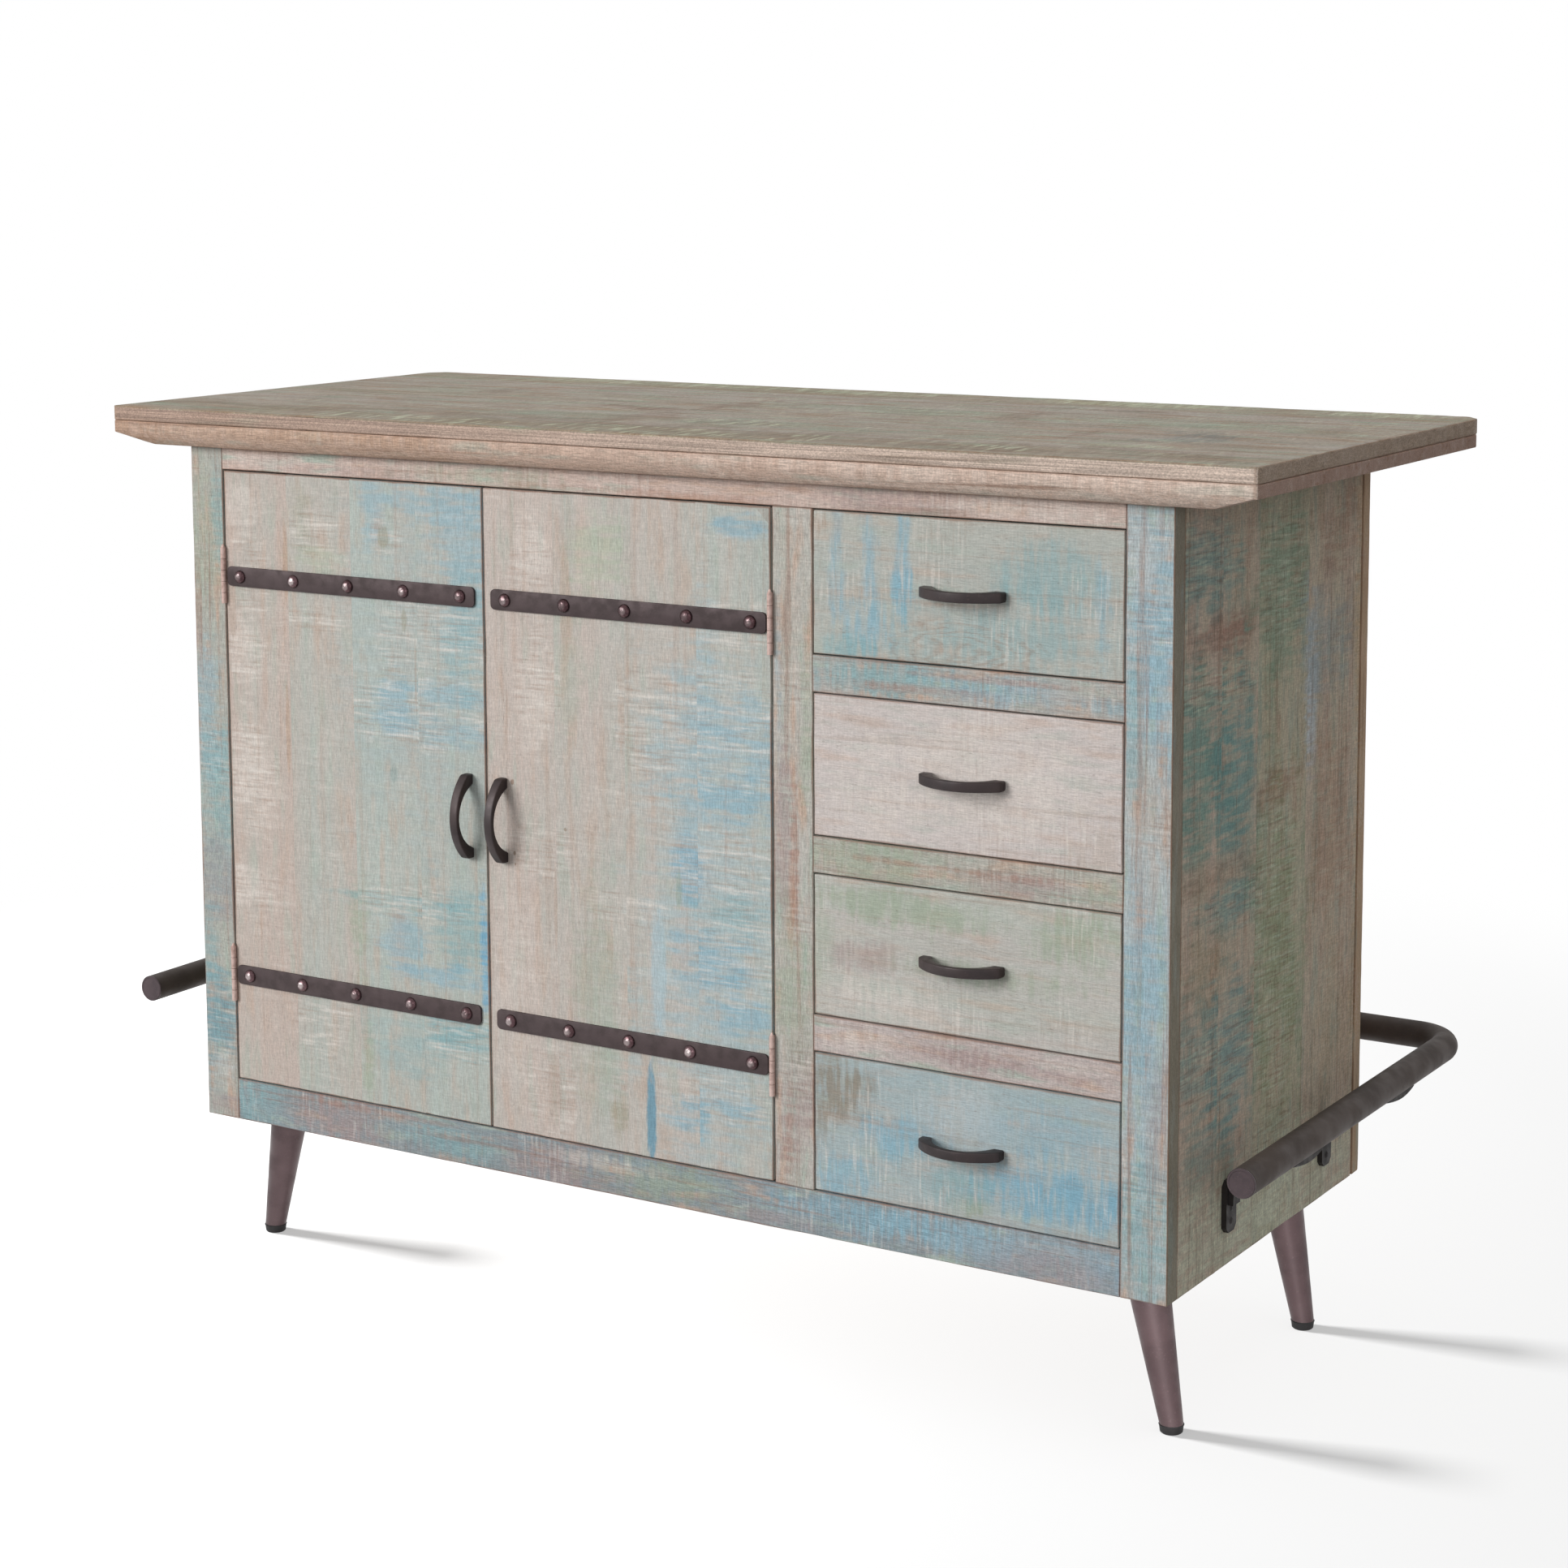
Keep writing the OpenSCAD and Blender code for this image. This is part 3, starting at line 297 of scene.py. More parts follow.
def planks(name, boards, joint=None, tones=None, cell=0.016, lip=0.0016, shape=None):
    """A mesh of sawn boards, each (low corner, high corner). Their arrises are rubbed round by an
    uneven amount, but stay sharp where boards join along the joint axis."""
    hollow_depth = 0.0003
    far_from_edge = 50.0
    verts, faces, edges, numbers, shades = [], [], [], [], []
    for n, (low, high) in enumerate(boards):
        sides = [cuts(low[a], high[a], cell, lip) for a in range(3)]
        known = {}

        def vertex(key):
            if key in known:
                return known[key]
            known[key] = len(verts)
            place = Vector([sides[a][key[a]] for a in range(3)])
            gap, tight = [], []
            for a in range(3):
                from_low = place[a] - low[a]
                from_high = high[a] - place[a]
                gap.append(min(from_low, from_high))
                inner = n > 0 if from_low < from_high else n < len(boards) - 1
                tight.append("xyz"[a] == joint and inner)
            arris = [
                max(gap[a], gap[b]) for a, b in ((0, 1), (1, 2), (0, 2)) if not (tight[a] or tight[b])
            ]
            knock = noise.noise(place * 55 + Vector((n, 3, 7)))
            dent = noise.noise(place * 21 + Vector((5, n, 1)))
            radius = lip * (0.5 + 0.7 * abs(knock) + 1.6 * max(0.0, dent - 0.25))
            core = Vector([
                place[a] if tight[a] else min(max(place[a], low[a] + radius), high[a] - radius)
                for a in range(3)
            ])
            out = (place - core).normalized()
            hollow = hollow_depth * (0.5 + 0.5 * noise.noise(place * 9 + Vector((n, n, 2))))
            place = core + out * (radius - hollow)
            verts.append(shape(place) if shape else place)
            edges.append(min(arris) * 1000 if arris else far_from_edge)
            numbers.append(n / 7.3 + 0.11)
            shades.append(tones[n] if tones else 0.5)
            return known[key]

        for a in range(3):
            b, c = (a + 1) % 3, (a + 2) % 3
            for side in (0, len(sides[a]) - 1):
                for i in range(len(sides[b]) - 1):
                    for j in range(len(sides[c]) - 1):
                        quad = []
                        for di, dj in ((0, 0), (1, 0), (1, 1), (0, 1)):
                            key = [0, 0, 0]
                            key[a], key[b], key[c] = side, i + di, j + dj
                            quad.append(vertex(tuple(key)))
                        faces.append(quad if side else quad[::-1])
    mesh = finished(name, verts, faces, 58)
    for attribute, values in (("edge", edges), ("board", numbers), ("tone", shades)):
        mesh.attributes.new(attribute, "FLOAT", "POINT").data.foreach_set("value", values)
    return mesh


def fit(name, mesh, material, body, slot, *nodes):
    """Puts a finished mesh in the model: its material, the body it rides on, the CAD it stands for."""
    mesh.materials.append(material)
    thing = bpy.data.objects.new(name, mesh)
    bpy.context.scene.collection.objects.link(thing)
    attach(thing, body)
    if nodes:
        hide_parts(*nodes)
    return thing


def side_by_side(low, high, axis, widths):
    """Splits a box into boards of the given widths; the last one takes what is left."""
    gap = 0.00002
    boards, start = [], low[axis]
    for n in range(len(widths) + 1):
        end = high[axis] if n == len(widths) else start + widths[n] - gap
        a, b = Vector(low), Vector(high)
        a[axis], b[axis] = start, end
        boards.append((a, b))
        start = end + gap
    return boards


top_low, top_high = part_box("worktop_boards")
top_widths = [0.084, 0.112, 0.124, 0.118, 0.116]
top_corner_r = 0.032
top_front_r = 0.006
corner_zone = 0.06
right_end = top_high.x * 1000 - corner_mm.x


def round_corners(place):
    """Draws the worktop's ends in to its wide back corners and its narrow front corners."""
    radius = top_corner_r
    past = place.y - (top_high.y - radius)
    if past <= 0:
        radius = top_front_r
        past = top_low.y + radius - place.y
    if past <= 0:
        return place
    inset = radius - math.sqrt(max(0.0, radius ** 2 - past ** 2))
    half = top_high.x
    reach = abs(place.x) - (half - corner_zone)
    if reach > 0:
        place.x = math.copysign(half - corner_zone + reach * (corner_zone - inset) / corner_zone, place.x)
    return place


# Sanded mango under wax: grey-brown with mauve and olive bands, and pale green paint that
# stayed in the saw marks of the front and back boards.
old_green = "#a9ae92"
rust_brown = "#75594a"
waxed_mango = timber(
    "waxed_mango_boards", ("#a0968c", "#908472"), "x", "xy",
    washes=[
        (old_green, (200, 592), (95, 34), 0.5), (old_green, (370, 592), (70, 34), 0.5),
        (old_green, (590, 590), (140, 36), 0.5), (old_green, (1000, 592), (140, 34), 0.6),
        (old_green, (1300, 592), (90, 34), 0.45), (old_green, (340, 15), (140, 34), 0.35),
        (old_green, (660, 15), (140, 34), 0.35), (old_green, (110, 15), (40, 34), 0.35),
        ("#949d8b", (770, 372), (160, 44), 0.6), ("#949d8b", (1160, 372), (200, 44), 0.55),
        ("#949d8b", (120, 372), (60, 40), 0.4), ("#8c9686", (460, 140), (90, 40), 0.5),
        ("#8c9686", (700, 140), (80, 44), 0.5), ("#929c8c", (860, 120), (80, 30), 0.5),
        ("#a9ad93", (1215, 110), (60, 16), 0.6), ("#8c9686", (1010, 110), (40, 26), 0.45),
        (rust_brown, (490, 258), (60, 24), 0.65), (rust_brown, (945, 376), (24, 52), 0.55),
        (rust_brown, (576, 350), (24, 70), 0.5), (rust_brown, (576, 160), (40, 60), 0.4),
        (rust_brown, (186, 385), (20, 40), 0.45), (rust_brown, (1113, 208), (15, 52), 0.65),
        (rust_brown, (1340, 380), (30, 34), 0.4), ("#74736d", (1229, 216), (44, 54), 0.85),
        ("#6f6354", (990, 500), (80, 14), 0.55), ("#7b6c5d", (640, 36), (760, 60), 0.62),
        ("#8b837b", (1421, 231), (8, 62), 0.9), ("#8b8c7b", (1421, 470), (8, 46), 0.6),
        ("#8d8d7c", (1421, 110), (8, 46), 0.4), ("#8e7767", (1421, 350), (8, 56), 0.5),
    ],
    lime="#babca2", lime_share=0.95, bare="#8d6f58", bare_share=0.4, saw_pitch=7.0,
    figure="#6f5c4a", figure_share=0.5, slant=0.0, dark=0.45, stain="#8f7258", bloom="#87947f",
    flanks=[
        ("#a88f80", "#c9b6a8", 2, 887.5, 886.0),
        ("#9f8c7b", "#9f8c7b", 0, right_end - 2.2, right_end - 1.2),
    ], contrast=2.5, hue=1.4, fibre_l=130,
    sawn=[
        ((200, 592), (90, 36)), ((370, 592), (60, 34)), ((590, 592), (140, 36)),
        ((1000, 592), (140, 36)), ((1300, 592), (90, 34)), ((110, 15), (30, 38)),
        ((340, 15), (140, 38)), ((660, 15), (140, 38)), ((866, 15), (32, 38)),
        ((1100, 15), (40, 38)), ((700, 150), (60, 34)),
    ],
)
fit(
    "worktop_top_boards",
    planks(
        "worktop_top_boards", side_by_side(top_low, top_high, 1, top_widths), "y",
        tones=[0.85, 0.4, 0.3, 0.5, 0.25, 0.95], lip=0.0028, shape=round_corners,
    ),
    waxed_mango, "cabinet", "worktop_boards", "worktop_boards",
)

# ---------------------------------------------------------------------------------------------
# Worktop under layer. One glued mango panel doubles the top's thickness; its lower edge is
# planed to a steep bevel at front and back and to a long flat one at both ends.
# ---------------------------------------------------------------------------------------------
under_low, under_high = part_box("worktop_underlayer")
bevel_h = 0.0135
bevel_end = 0.053
bevel_front = 0.014


def bevelled(place):
    """Pulls the lower edge of the under layer in to its bevels."""
    place = round_corners(place)
    below = 1 - (place.z - under_low.z) / bevel_h
    if below <= 0:
        return place
    middle = (under_low + under_high) / 2
    half = (under_high - under_low) / 2
    place.x = middle.x + (place.x - middle.x) * (1 - below * bevel_end / half.x)
    place.y = middle.y + (place.y - middle.y) * (1 - below * bevel_front / half.y)
    return place


# Bare mango, oiled: tan and pinkish, with short dark curly flecks in the end and edge grain.
edge_mango = timber(
    "oiled_mango_edge", ("#ccb1a2", "#bca392"), "x", "xz",
    [("#9c7257", (-95, 856), (60, 30), 0.45), ("#9c7257", (250, 866), (120, 7), 0.35),
     ("#b4967f", (120, 868), (360, 60), 0.5), ("#ddcbbe", (1220, 868), (420, 60), 0.6)],
    flanks=[("#9c8275", "#9c8275", 0, right_end - 2.2, right_end - 1.2)],
    lime="#c9b5a5", lime_share=0.2, bare="#a07a64", bare_share=0.35, saw_pitch=2.5,
    figure="#85634f", figure_share=0.7, dark=0.2, contrast=1.8, hue=0.8,
)
fit(
    "worktop_under_panel",
    planks("worktop_under_panel", [(under_low, under_high)], lip=0.0024, cell=0.013, shape=bevelled),
    edge_mango, "cabinet", "worktop_edge", "worktop_underlayer",
)

# ---------------------------------------------------------------------------------------------
# Face frame. Stiles and rails of old painted boards, halved together at the corners; each one
# comes from another door or shutter, so each keeps its own colours.
# ---------------------------------------------------------------------------------------------
sky = "#86aebe"
turquoise = "#83a9ae"
sage = "#9ba893"
mauve = "#a18d8b"
chalk = "#d6cdc5"
drift = "#bdb1a6"
teal_shade = "#7d9d99"
rust_dash = "#a67d6c"
frame_parts = {
    "stile_left": ("z", "frame_green_blue", ("#aeaa9f", "#9ea5a2"), [
        (sky, (14, 520), (24, 90), 0.45), (turquoise, (30, 395), (28, 110), 0.65),
        ("#7398a2", (20, 120), (40, 70), 0.85), (chalk, (28, 60), (18, 22), 0.45),
        (mauve, (24, 300), (26, 60), 0.45), (sage, (20, 720), (30, 80), 0.4),
        (turquoise, (40, 770), (10, 60), 0.5), (mauve, (30, 14), (30, 14), 0.5),
        (rust_dash, (6, 640), (5, 60), 0.4), (turquoise, (12, 210), (16, 50), 0.5),
    ]),
    "stile_middle": ("z", "frame_grey_green", ("#beb4af", "#adb1a7"), [
        (mauve, (852, 470), (9, 120), 0.6), (mauve, (868, 150), (24, 90), 0.6),
        (sage, (862, 270), (26, 80), 0.5), (rust_dash, (866, 420), (5, 80), 0.6),
        (sage, (882, 560), (8, 90), 0.5), (drift, (856, 700), (14, 90), 0.5),
        (sky, (846, 640), (5, 90), 0.35), (rust_dash, (858, 90), (6, 60), 0.4),
    ]),
    "stile_right": ("z", "frame_blue", ("#b8bab7", "#a5b5ba"), [
        (sky, (1300, 700), (30, 120), 0.7), (sky, (1290, 330), (26, 160), 0.6),
        (turquoise, (1298, 70), (34, 80), 0.6), (drift, (1288, 520), (22, 60), 0.6),
        (turquoise, (1276, 620), (9, 90), 0.5), (mauve, (1306, 200), (12, 70), 0.4),
        (drift, (1300, 450), (12, 40), 0.5), (chalk, (1284, 780), (14, 30), 0.4),
    ]),
    "rail_top": ("x", "frame_cream", ("#c8b3a9", "#bca99f"), [
        (mauve, (980, 828), (90, 16), 0.5), (sage, (440, 826), (120, 10), 0.4),
        (chalk, (1150, 828), (90, 12), 0.5), (mauve, (250, 822), (120, 8), 0.35),
        (chalk, (120, 830), (60, 8), 0.4), (rust_dash, (640, 820), (160, 4), 0.4),
    ]),
    "rail_bottom": ("x", "frame_turquoise", ("#8c9294", "#82949d"), [
        ("#7c8184", (330, 26), (380, 60), 0.5), ("#9fb6c2", (1200, 30), (190, 40), 0.5),
        (turquoise, (80, 26), (50, 30), 0.7), (mauve, (210, 20), (90, 24), 0.65),
        (turquoise, (370, 28), (90, 22), 0.6), (mauve, (530, 22), (60, 26), 0.6),
        (sage, (700, 30), (90, 22), 0.5), (sky, (930, 28), (110, 22), 0.6),
        (mauve, (1190, 16), (90, 18), 0.6), (sky, (1060, 30), (80, 20), 0.5),
        (chalk, (600, 36), (70, 8), 0.4), (rust_dash, (300, 44), (120, 4), 0.4),
        (mauve, (840, 12), (80, 9), 0.45), ("#84a9b9", (1290, 26), (60, 22), 0.5),
    ]),
    "drawer_rail_1": ("x", "frame_turquoise", ("#b3aaa3", "#9da7a6"), [
        (turquoise, (980, 634), (90, 20), 0.75), (sky, (1130, 634), (90, 16), 0.5),
        (rust_dash, (1010, 628), (70, 5), 0.6), (drift, (1215, 636), (40, 20), 0.5),
        (rust_dash, (1120, 645), (90, 3), 0.5), ("#7ba9b8", (1240, 628), (30, 8), 0.5),
    ]),
    "drawer_rail_2": ("x", "frame_grey_green", ("#b9ada7", "#a7a99e"), [
        (sage, (960, 433), (110, 22), 0.6), (mauve, (1150, 428), (60, 12), 0.5),
        (rust_dash, (1060, 436), (120, 3), 0.45), (sage, (1240, 436), (30, 14), 0.5),
    ]),
    "drawer_rail_3": ("x", "frame_cream", ("#c0b5b0", "#b5a8a5"), [
        (mauve, (1120, 230), (110, 10), 0.7), (chalk, (950, 232), (50, 18), 0.5),
        (chalk, (1200, 240), (50, 8), 0.4),
    ]),
}
# The right stile's side was painted with the side boards.
right_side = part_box("stile_right")[1].x * 1000 - corner_mm.x
for node, (grain, slot, grounds, washes) in frame_parts.items():
    paint = timber(
        "limed_mango_" + node, grounds, grain, "xz", washes,
        lime_share=0.4, bare="#86604f", bare_share=0.6, figure="#8f7163", figure_share=0.55,
        contrast=1.4, hue=1.5, dark=0.3,
        flanks=[("#8c8575", "#8c8575", 0, right_side - 1.6, right_side - 0.9)],
    )
    fit(node + "_timber", planks(node + "_timber", [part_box(node)]), paint, "cabinet", slot, node)

# ---------------------------------------------------------------------------------------------
# Side panels. Four wide boards stand side by side between the face frame and the back frame,
# with a tongue in the last one; blotched teal and olive paint over brown, cut by a coarse saw.
# ---------------------------------------------------------------------------------------------
side_widths = [0.096, 0.094, 0.136]
side_gap = 0.005
tongue_t = 0.010
side_washes = [
    (teal_shade, (70, 770), (90, 50), 0.8), ("#a2796a", (120, 692), (100, 20), 0.75),
    ("#73998f", (60, 560), (80, 110), 0.85), ("#6f9a98", (160, 530), (56, 100), 0.8),
    ("#ab8f7a", (90, 438), (110, 18), 0.6), (teal_shade, (150, 395), (70, 26), 0.7),
    ("#a3906f", (90, 330), (60, 50), 0.4), (teal_shade, (60, 250), (50, 70), 0.6),
    ("#749c9d", (160, 230), (50, 90), 0.75), (teal_shade, (90, 140), (70, 30), 0.5),
    ("#8aa08a", (275, 730), (64, 100), 0.8), ("#a67a67", (275, 505), (60, 22), 0.7),
    ("#92a07e", (285, 330), (64, 180), 0.65), ("#c6cdd0", (362, 606), (16, 95), 0.95),
    ("#93a0a3", (410, 650), (70, 60), 0.5), ("#b28e78", (430, 420), (60, 120), 0.5),
    ("#cbb292", (510, 590), (20, 280), 0.85), ("#cfd1bb", (120, 40), (180, 60), 0.7),
    ("#d3d6c0", (330, 40), (180, 60), 0.7), ("#a5806d", (440, 760), (60, 50), 0.5),
    ("#9aa58b", (344, 300), (10, 160), 0.5), ("#b8a287", (450, 200), (60, 120), 0.4),
]
side_paint = timber(
    "limed_mango_sides", ("#c7b4a3", "#bbb59c"), "z", "yz", side_washes,
    lime="#c3cdb8", lime_share=0.6, bare="#7f5f4c", bare_share=0.6, saw_pitch=3.4, saw_depth=1.1,
    figure="#7d6454", figure_share=0.45, slant=0.03, dark=0.4, stain="#a98672", bloom="#93a397",
    contrast=2.0, hue=0.9,
    sawn=[
        ((275, 330), (64, 200)), ((70, 780), (100, 40)), ((160, 240), (60, 60)),
        ((60, 240), (60, 40)), ((275, 740), (64, 80)), ((150, 400), (70, 20)),
        ((110, 640), (110, 26)), ((275, 110), (70, 30)),
    ],
)
for node in ("side_panel_left", "side_panel_right"):
    low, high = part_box(node)
    face_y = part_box("back_stiles")[0].y - side_gap
    boards = side_by_side(low, Vector((high.x, face_y, high.z)), 1, side_widths)
    inside = low.x + tongue_t if node == "side_panel_left" else low.x
    tongue = (Vector((inside, face_y, low.z)), Vector((inside + tongue_t, high.y, high.z)))
    fit(
        node + "_timber",
        planks(node + "_timber", boards + [tongue], "y", tones=[0.2, 0.3, 0.9, 0.35, 0.5], lip=0.0012),
        side_paint, "cabinet", "side_boards", node,
    )

# ---------------------------------------------------------------------------------------------
# Back. A flat frame of tan boards with eight thinner boards let into it, nailed from inside;
# it stands against nothing, so it is limed like the rest but less painted.
# ---------------------------------------------------------------------------------------------
back_paint = timber(
    "limed_mango_back", ("#c2a285", "#b69f83"), "z", "xz",
    [(sage, (250, 500), (60, 300), 0.4), (teal_shade, (700, 350), (70, 260), 0.45),
     (chalk, (1000, 600), (60, 200), 0.4), (sky, (1080, 200), (60, 150), 0.35)],
    lime_share=0.3, bare="#80604c", bare_share=0.6, figure="#856a57", figure_share=0.5,
)
back_rail_paint = timber(
    "limed_mango_back_rails", ("#b09a85", "#a59783"), "x", "xz",
    lime_share=0.3, bare="#80604c", bare_share=0.6, figure="#856a57", figure_share=0.5,
)
back_frame_w = 0.054
back_boards = 8
low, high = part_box("back_stiles")
stiles = [
    (low, Vector((low.x + back_frame_w, high.y, high.z))),
    (Vector((high.x - back_frame_w, low.y, low.z)), high),
]
fit(
    "back_stile_boards", planks("back_stile_boards", stiles),
    back_paint, "cabinet", "back_wood", "back_stiles",
)
low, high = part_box("back_rails")
rails = [
    (low, Vector((high.x, high.y, low.z + back_frame_w))),
    (Vector((low.x, low.y, high.z - back_frame_w)), high),
]
fit(
    "back_rail_boards", planks("back_rail_boards", rails),
    back_rail_paint, "cabinet", "back_wood", "back_rails",
)
low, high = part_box("back_panel")
pitch = (high.x - low.x + 0.0001) / back_boards
boards = side_by_side(low, high, 0, [pitch] * (back_boards - 1))
tones = [0.3, 0.8, 0.5, 0.1, 0.7, 0.4, 0.9, 0.2]
fit(
    "back_infill_boards", planks("back_infill_boards", boards, tones=tones, lip=0.001),
    back_paint, "cabinet", "back_wood", "back_panel",
)

# ---------------------------------------------------------------------------------------------
# Inside timber. Floor, partition, shelf, cleats, runners and leg bearers are plain planed
# mango, unpainted and lightly oiled; they are screwed and glued, and few people ever see them.
# ---------------------------------------------------------------------------------------------


def planed(name, grain):
    """Planed unpainted mango: warm tan with fine darker rings, a little sheen from the oil."""
    material, tree, place = new_material(name)
    fibre = streaks(tree, place, grain, 30, 1.5, 3.0)
    rings = streaks(tree, place, grain, 420, 13, 3.0, 0.8)
    bands = streaks(tree, place, grain, 700, 70, 2.0)
    wood = blend(tree, ramp(tree, bands, 0.35, 0.65), colour("#c3a582"), colour("#b59472"))
    wood = blend(tree, ramp(tree, rings, 0.5, 0.7, 0, 0.5), wood, colour("#8f6d50"))
    wood = blend(tree, ramp(tree, fibre, 0.5, 0.75, 0, 0.35), wood, colour("#7d5e45"))
    bump = add(tree, "Bump", {"Height": fibre, "Distance": 0.0006, "Strength": 0.35})
    close_material(tree, {
        "Base Color": wood,
        "Roughness": ramp(tree, rings, 0.3, 0.7, 0.5, 0.65),
        "Specular IOR Level": 0.35,
        "Normal": bump.outputs[0],
    })
    return material


def refinish(node, material):
    """Gives a CAD node that keeps its own shape a finished material."""
    mesh = frame["nodes"][node].data
    mesh.materials.clear()
    mesh.materials.append(material)


planed_nodes = {
    ("planed_mango_across", "x"): [
        "floor_panel", "cupboard_shelf", "worktop_cleats", "door_battens_left", "door_battens_right",
    ],
    ("planed_mango_upright", "z"): ["partition"],
    ("planed_mango_deep", "y"): ["shelf_cleats", "drawer_runners", "leg_bearers"]
    + ["drawer_box_%d" % n for n in (1, 2, 3, 4)],
}
for (name, grain), nodes in planed_nodes.items():
    material = planed(name, grain)
    for node in nodes:
        refinish(node, material)

# ---------------------------------------------------------------------------------------------
# Doors. Each is four upright boards glued edge to edge, planed flush and limed over the old
# paint; beige on the hinge side of the left door, sky blue where the saw left it.
# ---------------------------------------------------------------------------------------------
door_boards = 4
left_washes = [
    (chalk, (82, 590), (30, 34), 0.5), (chalk, (84, 440), (38, 70), 0.6),
    (chalk, (80, 300), (40, 26), 0.6),
    (chalk, (74, 765), (26, 26), 0.5), ("#a7a493", (171, 750), (14, 50), 0.5),
    ("#a9b79f", (196, 716), (34, 18), 0.45), (sky, (282, 772), (20, 46), 0.55),
    (sky, (395, 792), (70, 24), 0.65), (sky, (415, 745), (44, 44), 0.5),
    (sky, (420, 660), (34, 70), 0.45),
    (sky, (308, 548), (24, 34), 0.9), (sky, (385, 567), (60, 18), 0.7),
    (sky, (392, 522), (60, 18), 0.6),
    ("#a3b3b4", (350, 600), (100, 200), 0.45),
    (turquoise, (418, 640), (30, 60), 0.5), (sage, (250, 262), (14, 55), 0.6),
    (turquoise, (333, 309), (80, 12), 0.6), (sky, (318, 262), (44, 30), 0.5),
    (turquoise, (402, 285), (44, 44), 0.6), ("#6fa6c2", (437, 262), (6, 75), 0.85),
    (sky, (372, 226), (70, 14), 0.6), (turquoise, (398, 158), (52, 26), 0.8),
    (turquoise, (330, 135), (60, 40), 0.4), (sage, (260, 92), (9, 44), 0.6),
]
right_washes = [
    (chalk, (515, 750), (22, 44), 0.5), (chalk, (520, 570), (28, 60), 0.5),
    (chalk, (480, 240), (30, 120), 0.3),
    ("#a9b79f", (602, 748), (34, 44), 0.5), (sage, (600, 220), (30, 120), 0.35),
    (sage, (560, 600), (20, 70), 0.25),
    (sky, (785, 788), (34, 10), 0.7), ("#a6b9bd", (760, 560), (70, 110), 0.6),
    ("#a6b9bd", (760, 300), (86, 270), 0.7),
    (sky, (790, 570), (60, 50), 0.45), (sky, (790, 480), (60, 26), 0.6),
    ("#85adbf", (728, 392), (24, 30), 0.75),
    (sky, (756, 292), (50, 34), 0.8), (sky, (790, 236), (50, 20), 0.6),
    (turquoise, (780, 350), (40, 20), 0.5),
    (sky, (724, 116), (24, 26), 0.75), (sky, (790, 130), (40, 16), 0.6),
    ("#8c8668", (628, 92), (12, 22), 0.4),
]
left_sawn = [
    ((84, 590), (34, 34)), ((84, 440), (42, 76)), ((80, 300), (44, 26)), ((190, 745), (40, 30)),
    ((190, 640), (50, 14)), ((350, 545), (100, 46)), ((330, 309), (80, 24)), ((400, 160), (60, 40)),
    ((300, 750), (24, 26)), ((190, 150), (40, 50)), ((370, 620), (90, 60)), ((84, 680), (40, 60)),
]
right_sawn = [
    ((510, 720), (30, 60)), ((520, 590), (34, 60)), ((790, 560), (64, 80)), ((790, 300), (64, 60)),
    ((680, 560), (50, 60)), ((533, 105), (34, 62)), ((640, 340), (60, 20)), ((770, 140), (70, 30)),
    ((522, 397), (44, 36)), ((770, 410), (70, 40)), ((790, 680), (50, 30)),
]
left_knots = [
    ("#97927c", (297, 747), (10, 16), 0.55), ("#9a9784", (326, 650), (5, 16), 0.5),
    ("#8f9f9b", (306, 463), (7, 12), 0.5), ("#b1957f", (146, 705), (5, 60), 0.6),
    ("#b1957f", (144, 500), (4, 70), 0.55), ("#a88f7c", (342, 588), (2, 50), 0.35),
    ("#b39c8b", (60, 650), (7, 60), 0.4), ("#b8a294", (110, 560), (6, 40), 0.35),
]
# Two old screw holes beside the right door's pull were filled and never painted over.
right_knots = [
    ("#8f7767", (481, 472), (3.2, 4.2), 0.8), ("#86705f", (483, 388), (2.6, 3.4), 0.8),
    ("#8f7a69", (484, 375), (1.6, 2.0), 0.8), ("#8c7c6a", (556, 424), (2.6, 2.6), 0.7),
    ("#b59a86", (560, 690), (9, 80), 0.4), ("#ab907d", (541, 330), (3, 60), 0.35),
    ("#a3c0cb", (684, 270), (13, 90), 0.55), ("#5f90a5", (672, 104), (8, 72), 0.85),
    ("#8a9a84", (712, 372), (5, 30), 0.4), ("#a58f80", (536, 110), (12, 50), 0.35),
]
door_sides = {
    "left": ("#bdafa6", left_washes, left_sawn, left_knots, [0.05, 0.55, 0.8, 0.75]),
    "right": ("#c1b5ad", right_washes, right_sawn, right_knots, [0.0, 0.35, 0.3, 0.7]),
}
for side, (beige, washes, sawn, knots, tones) in door_sides.items():
    body = "door_" + side
    low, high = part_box(body)
    pitch = (high.x - low.x + 0.0001) / door_boards
    paint = timber(
        "limed_mango_door_" + side, (beige, "#aeb6b0"), "z", "xz", washes,
        lime_share=0.48, bare="#83604f", bare_share=0.75, figure="#a08472", figure_share=0.22,
        dark=0.3, slant=0.02, sawn=sawn, knots=knots, contrast=1.0, hue=0.7, kerf_share=0.6,
    )
    boards = side_by_side(low, high, 0, [pitch] * (door_boards - 1))
    fit(
        body + "_boards", planks(body + "_boards", boards, "x", tones, lip=0.0014),
        paint, body, body + "_boards", body,
    )

# ---------------------------------------------------------------------------------------------
# Straps. Two flat mild-steel bars to a door, corners rounded on a grinder, blackened and
# lacquered to a dark bronze brown; five rivets clamp each through the door to its batten.
# ---------------------------------------------------------------------------------------------


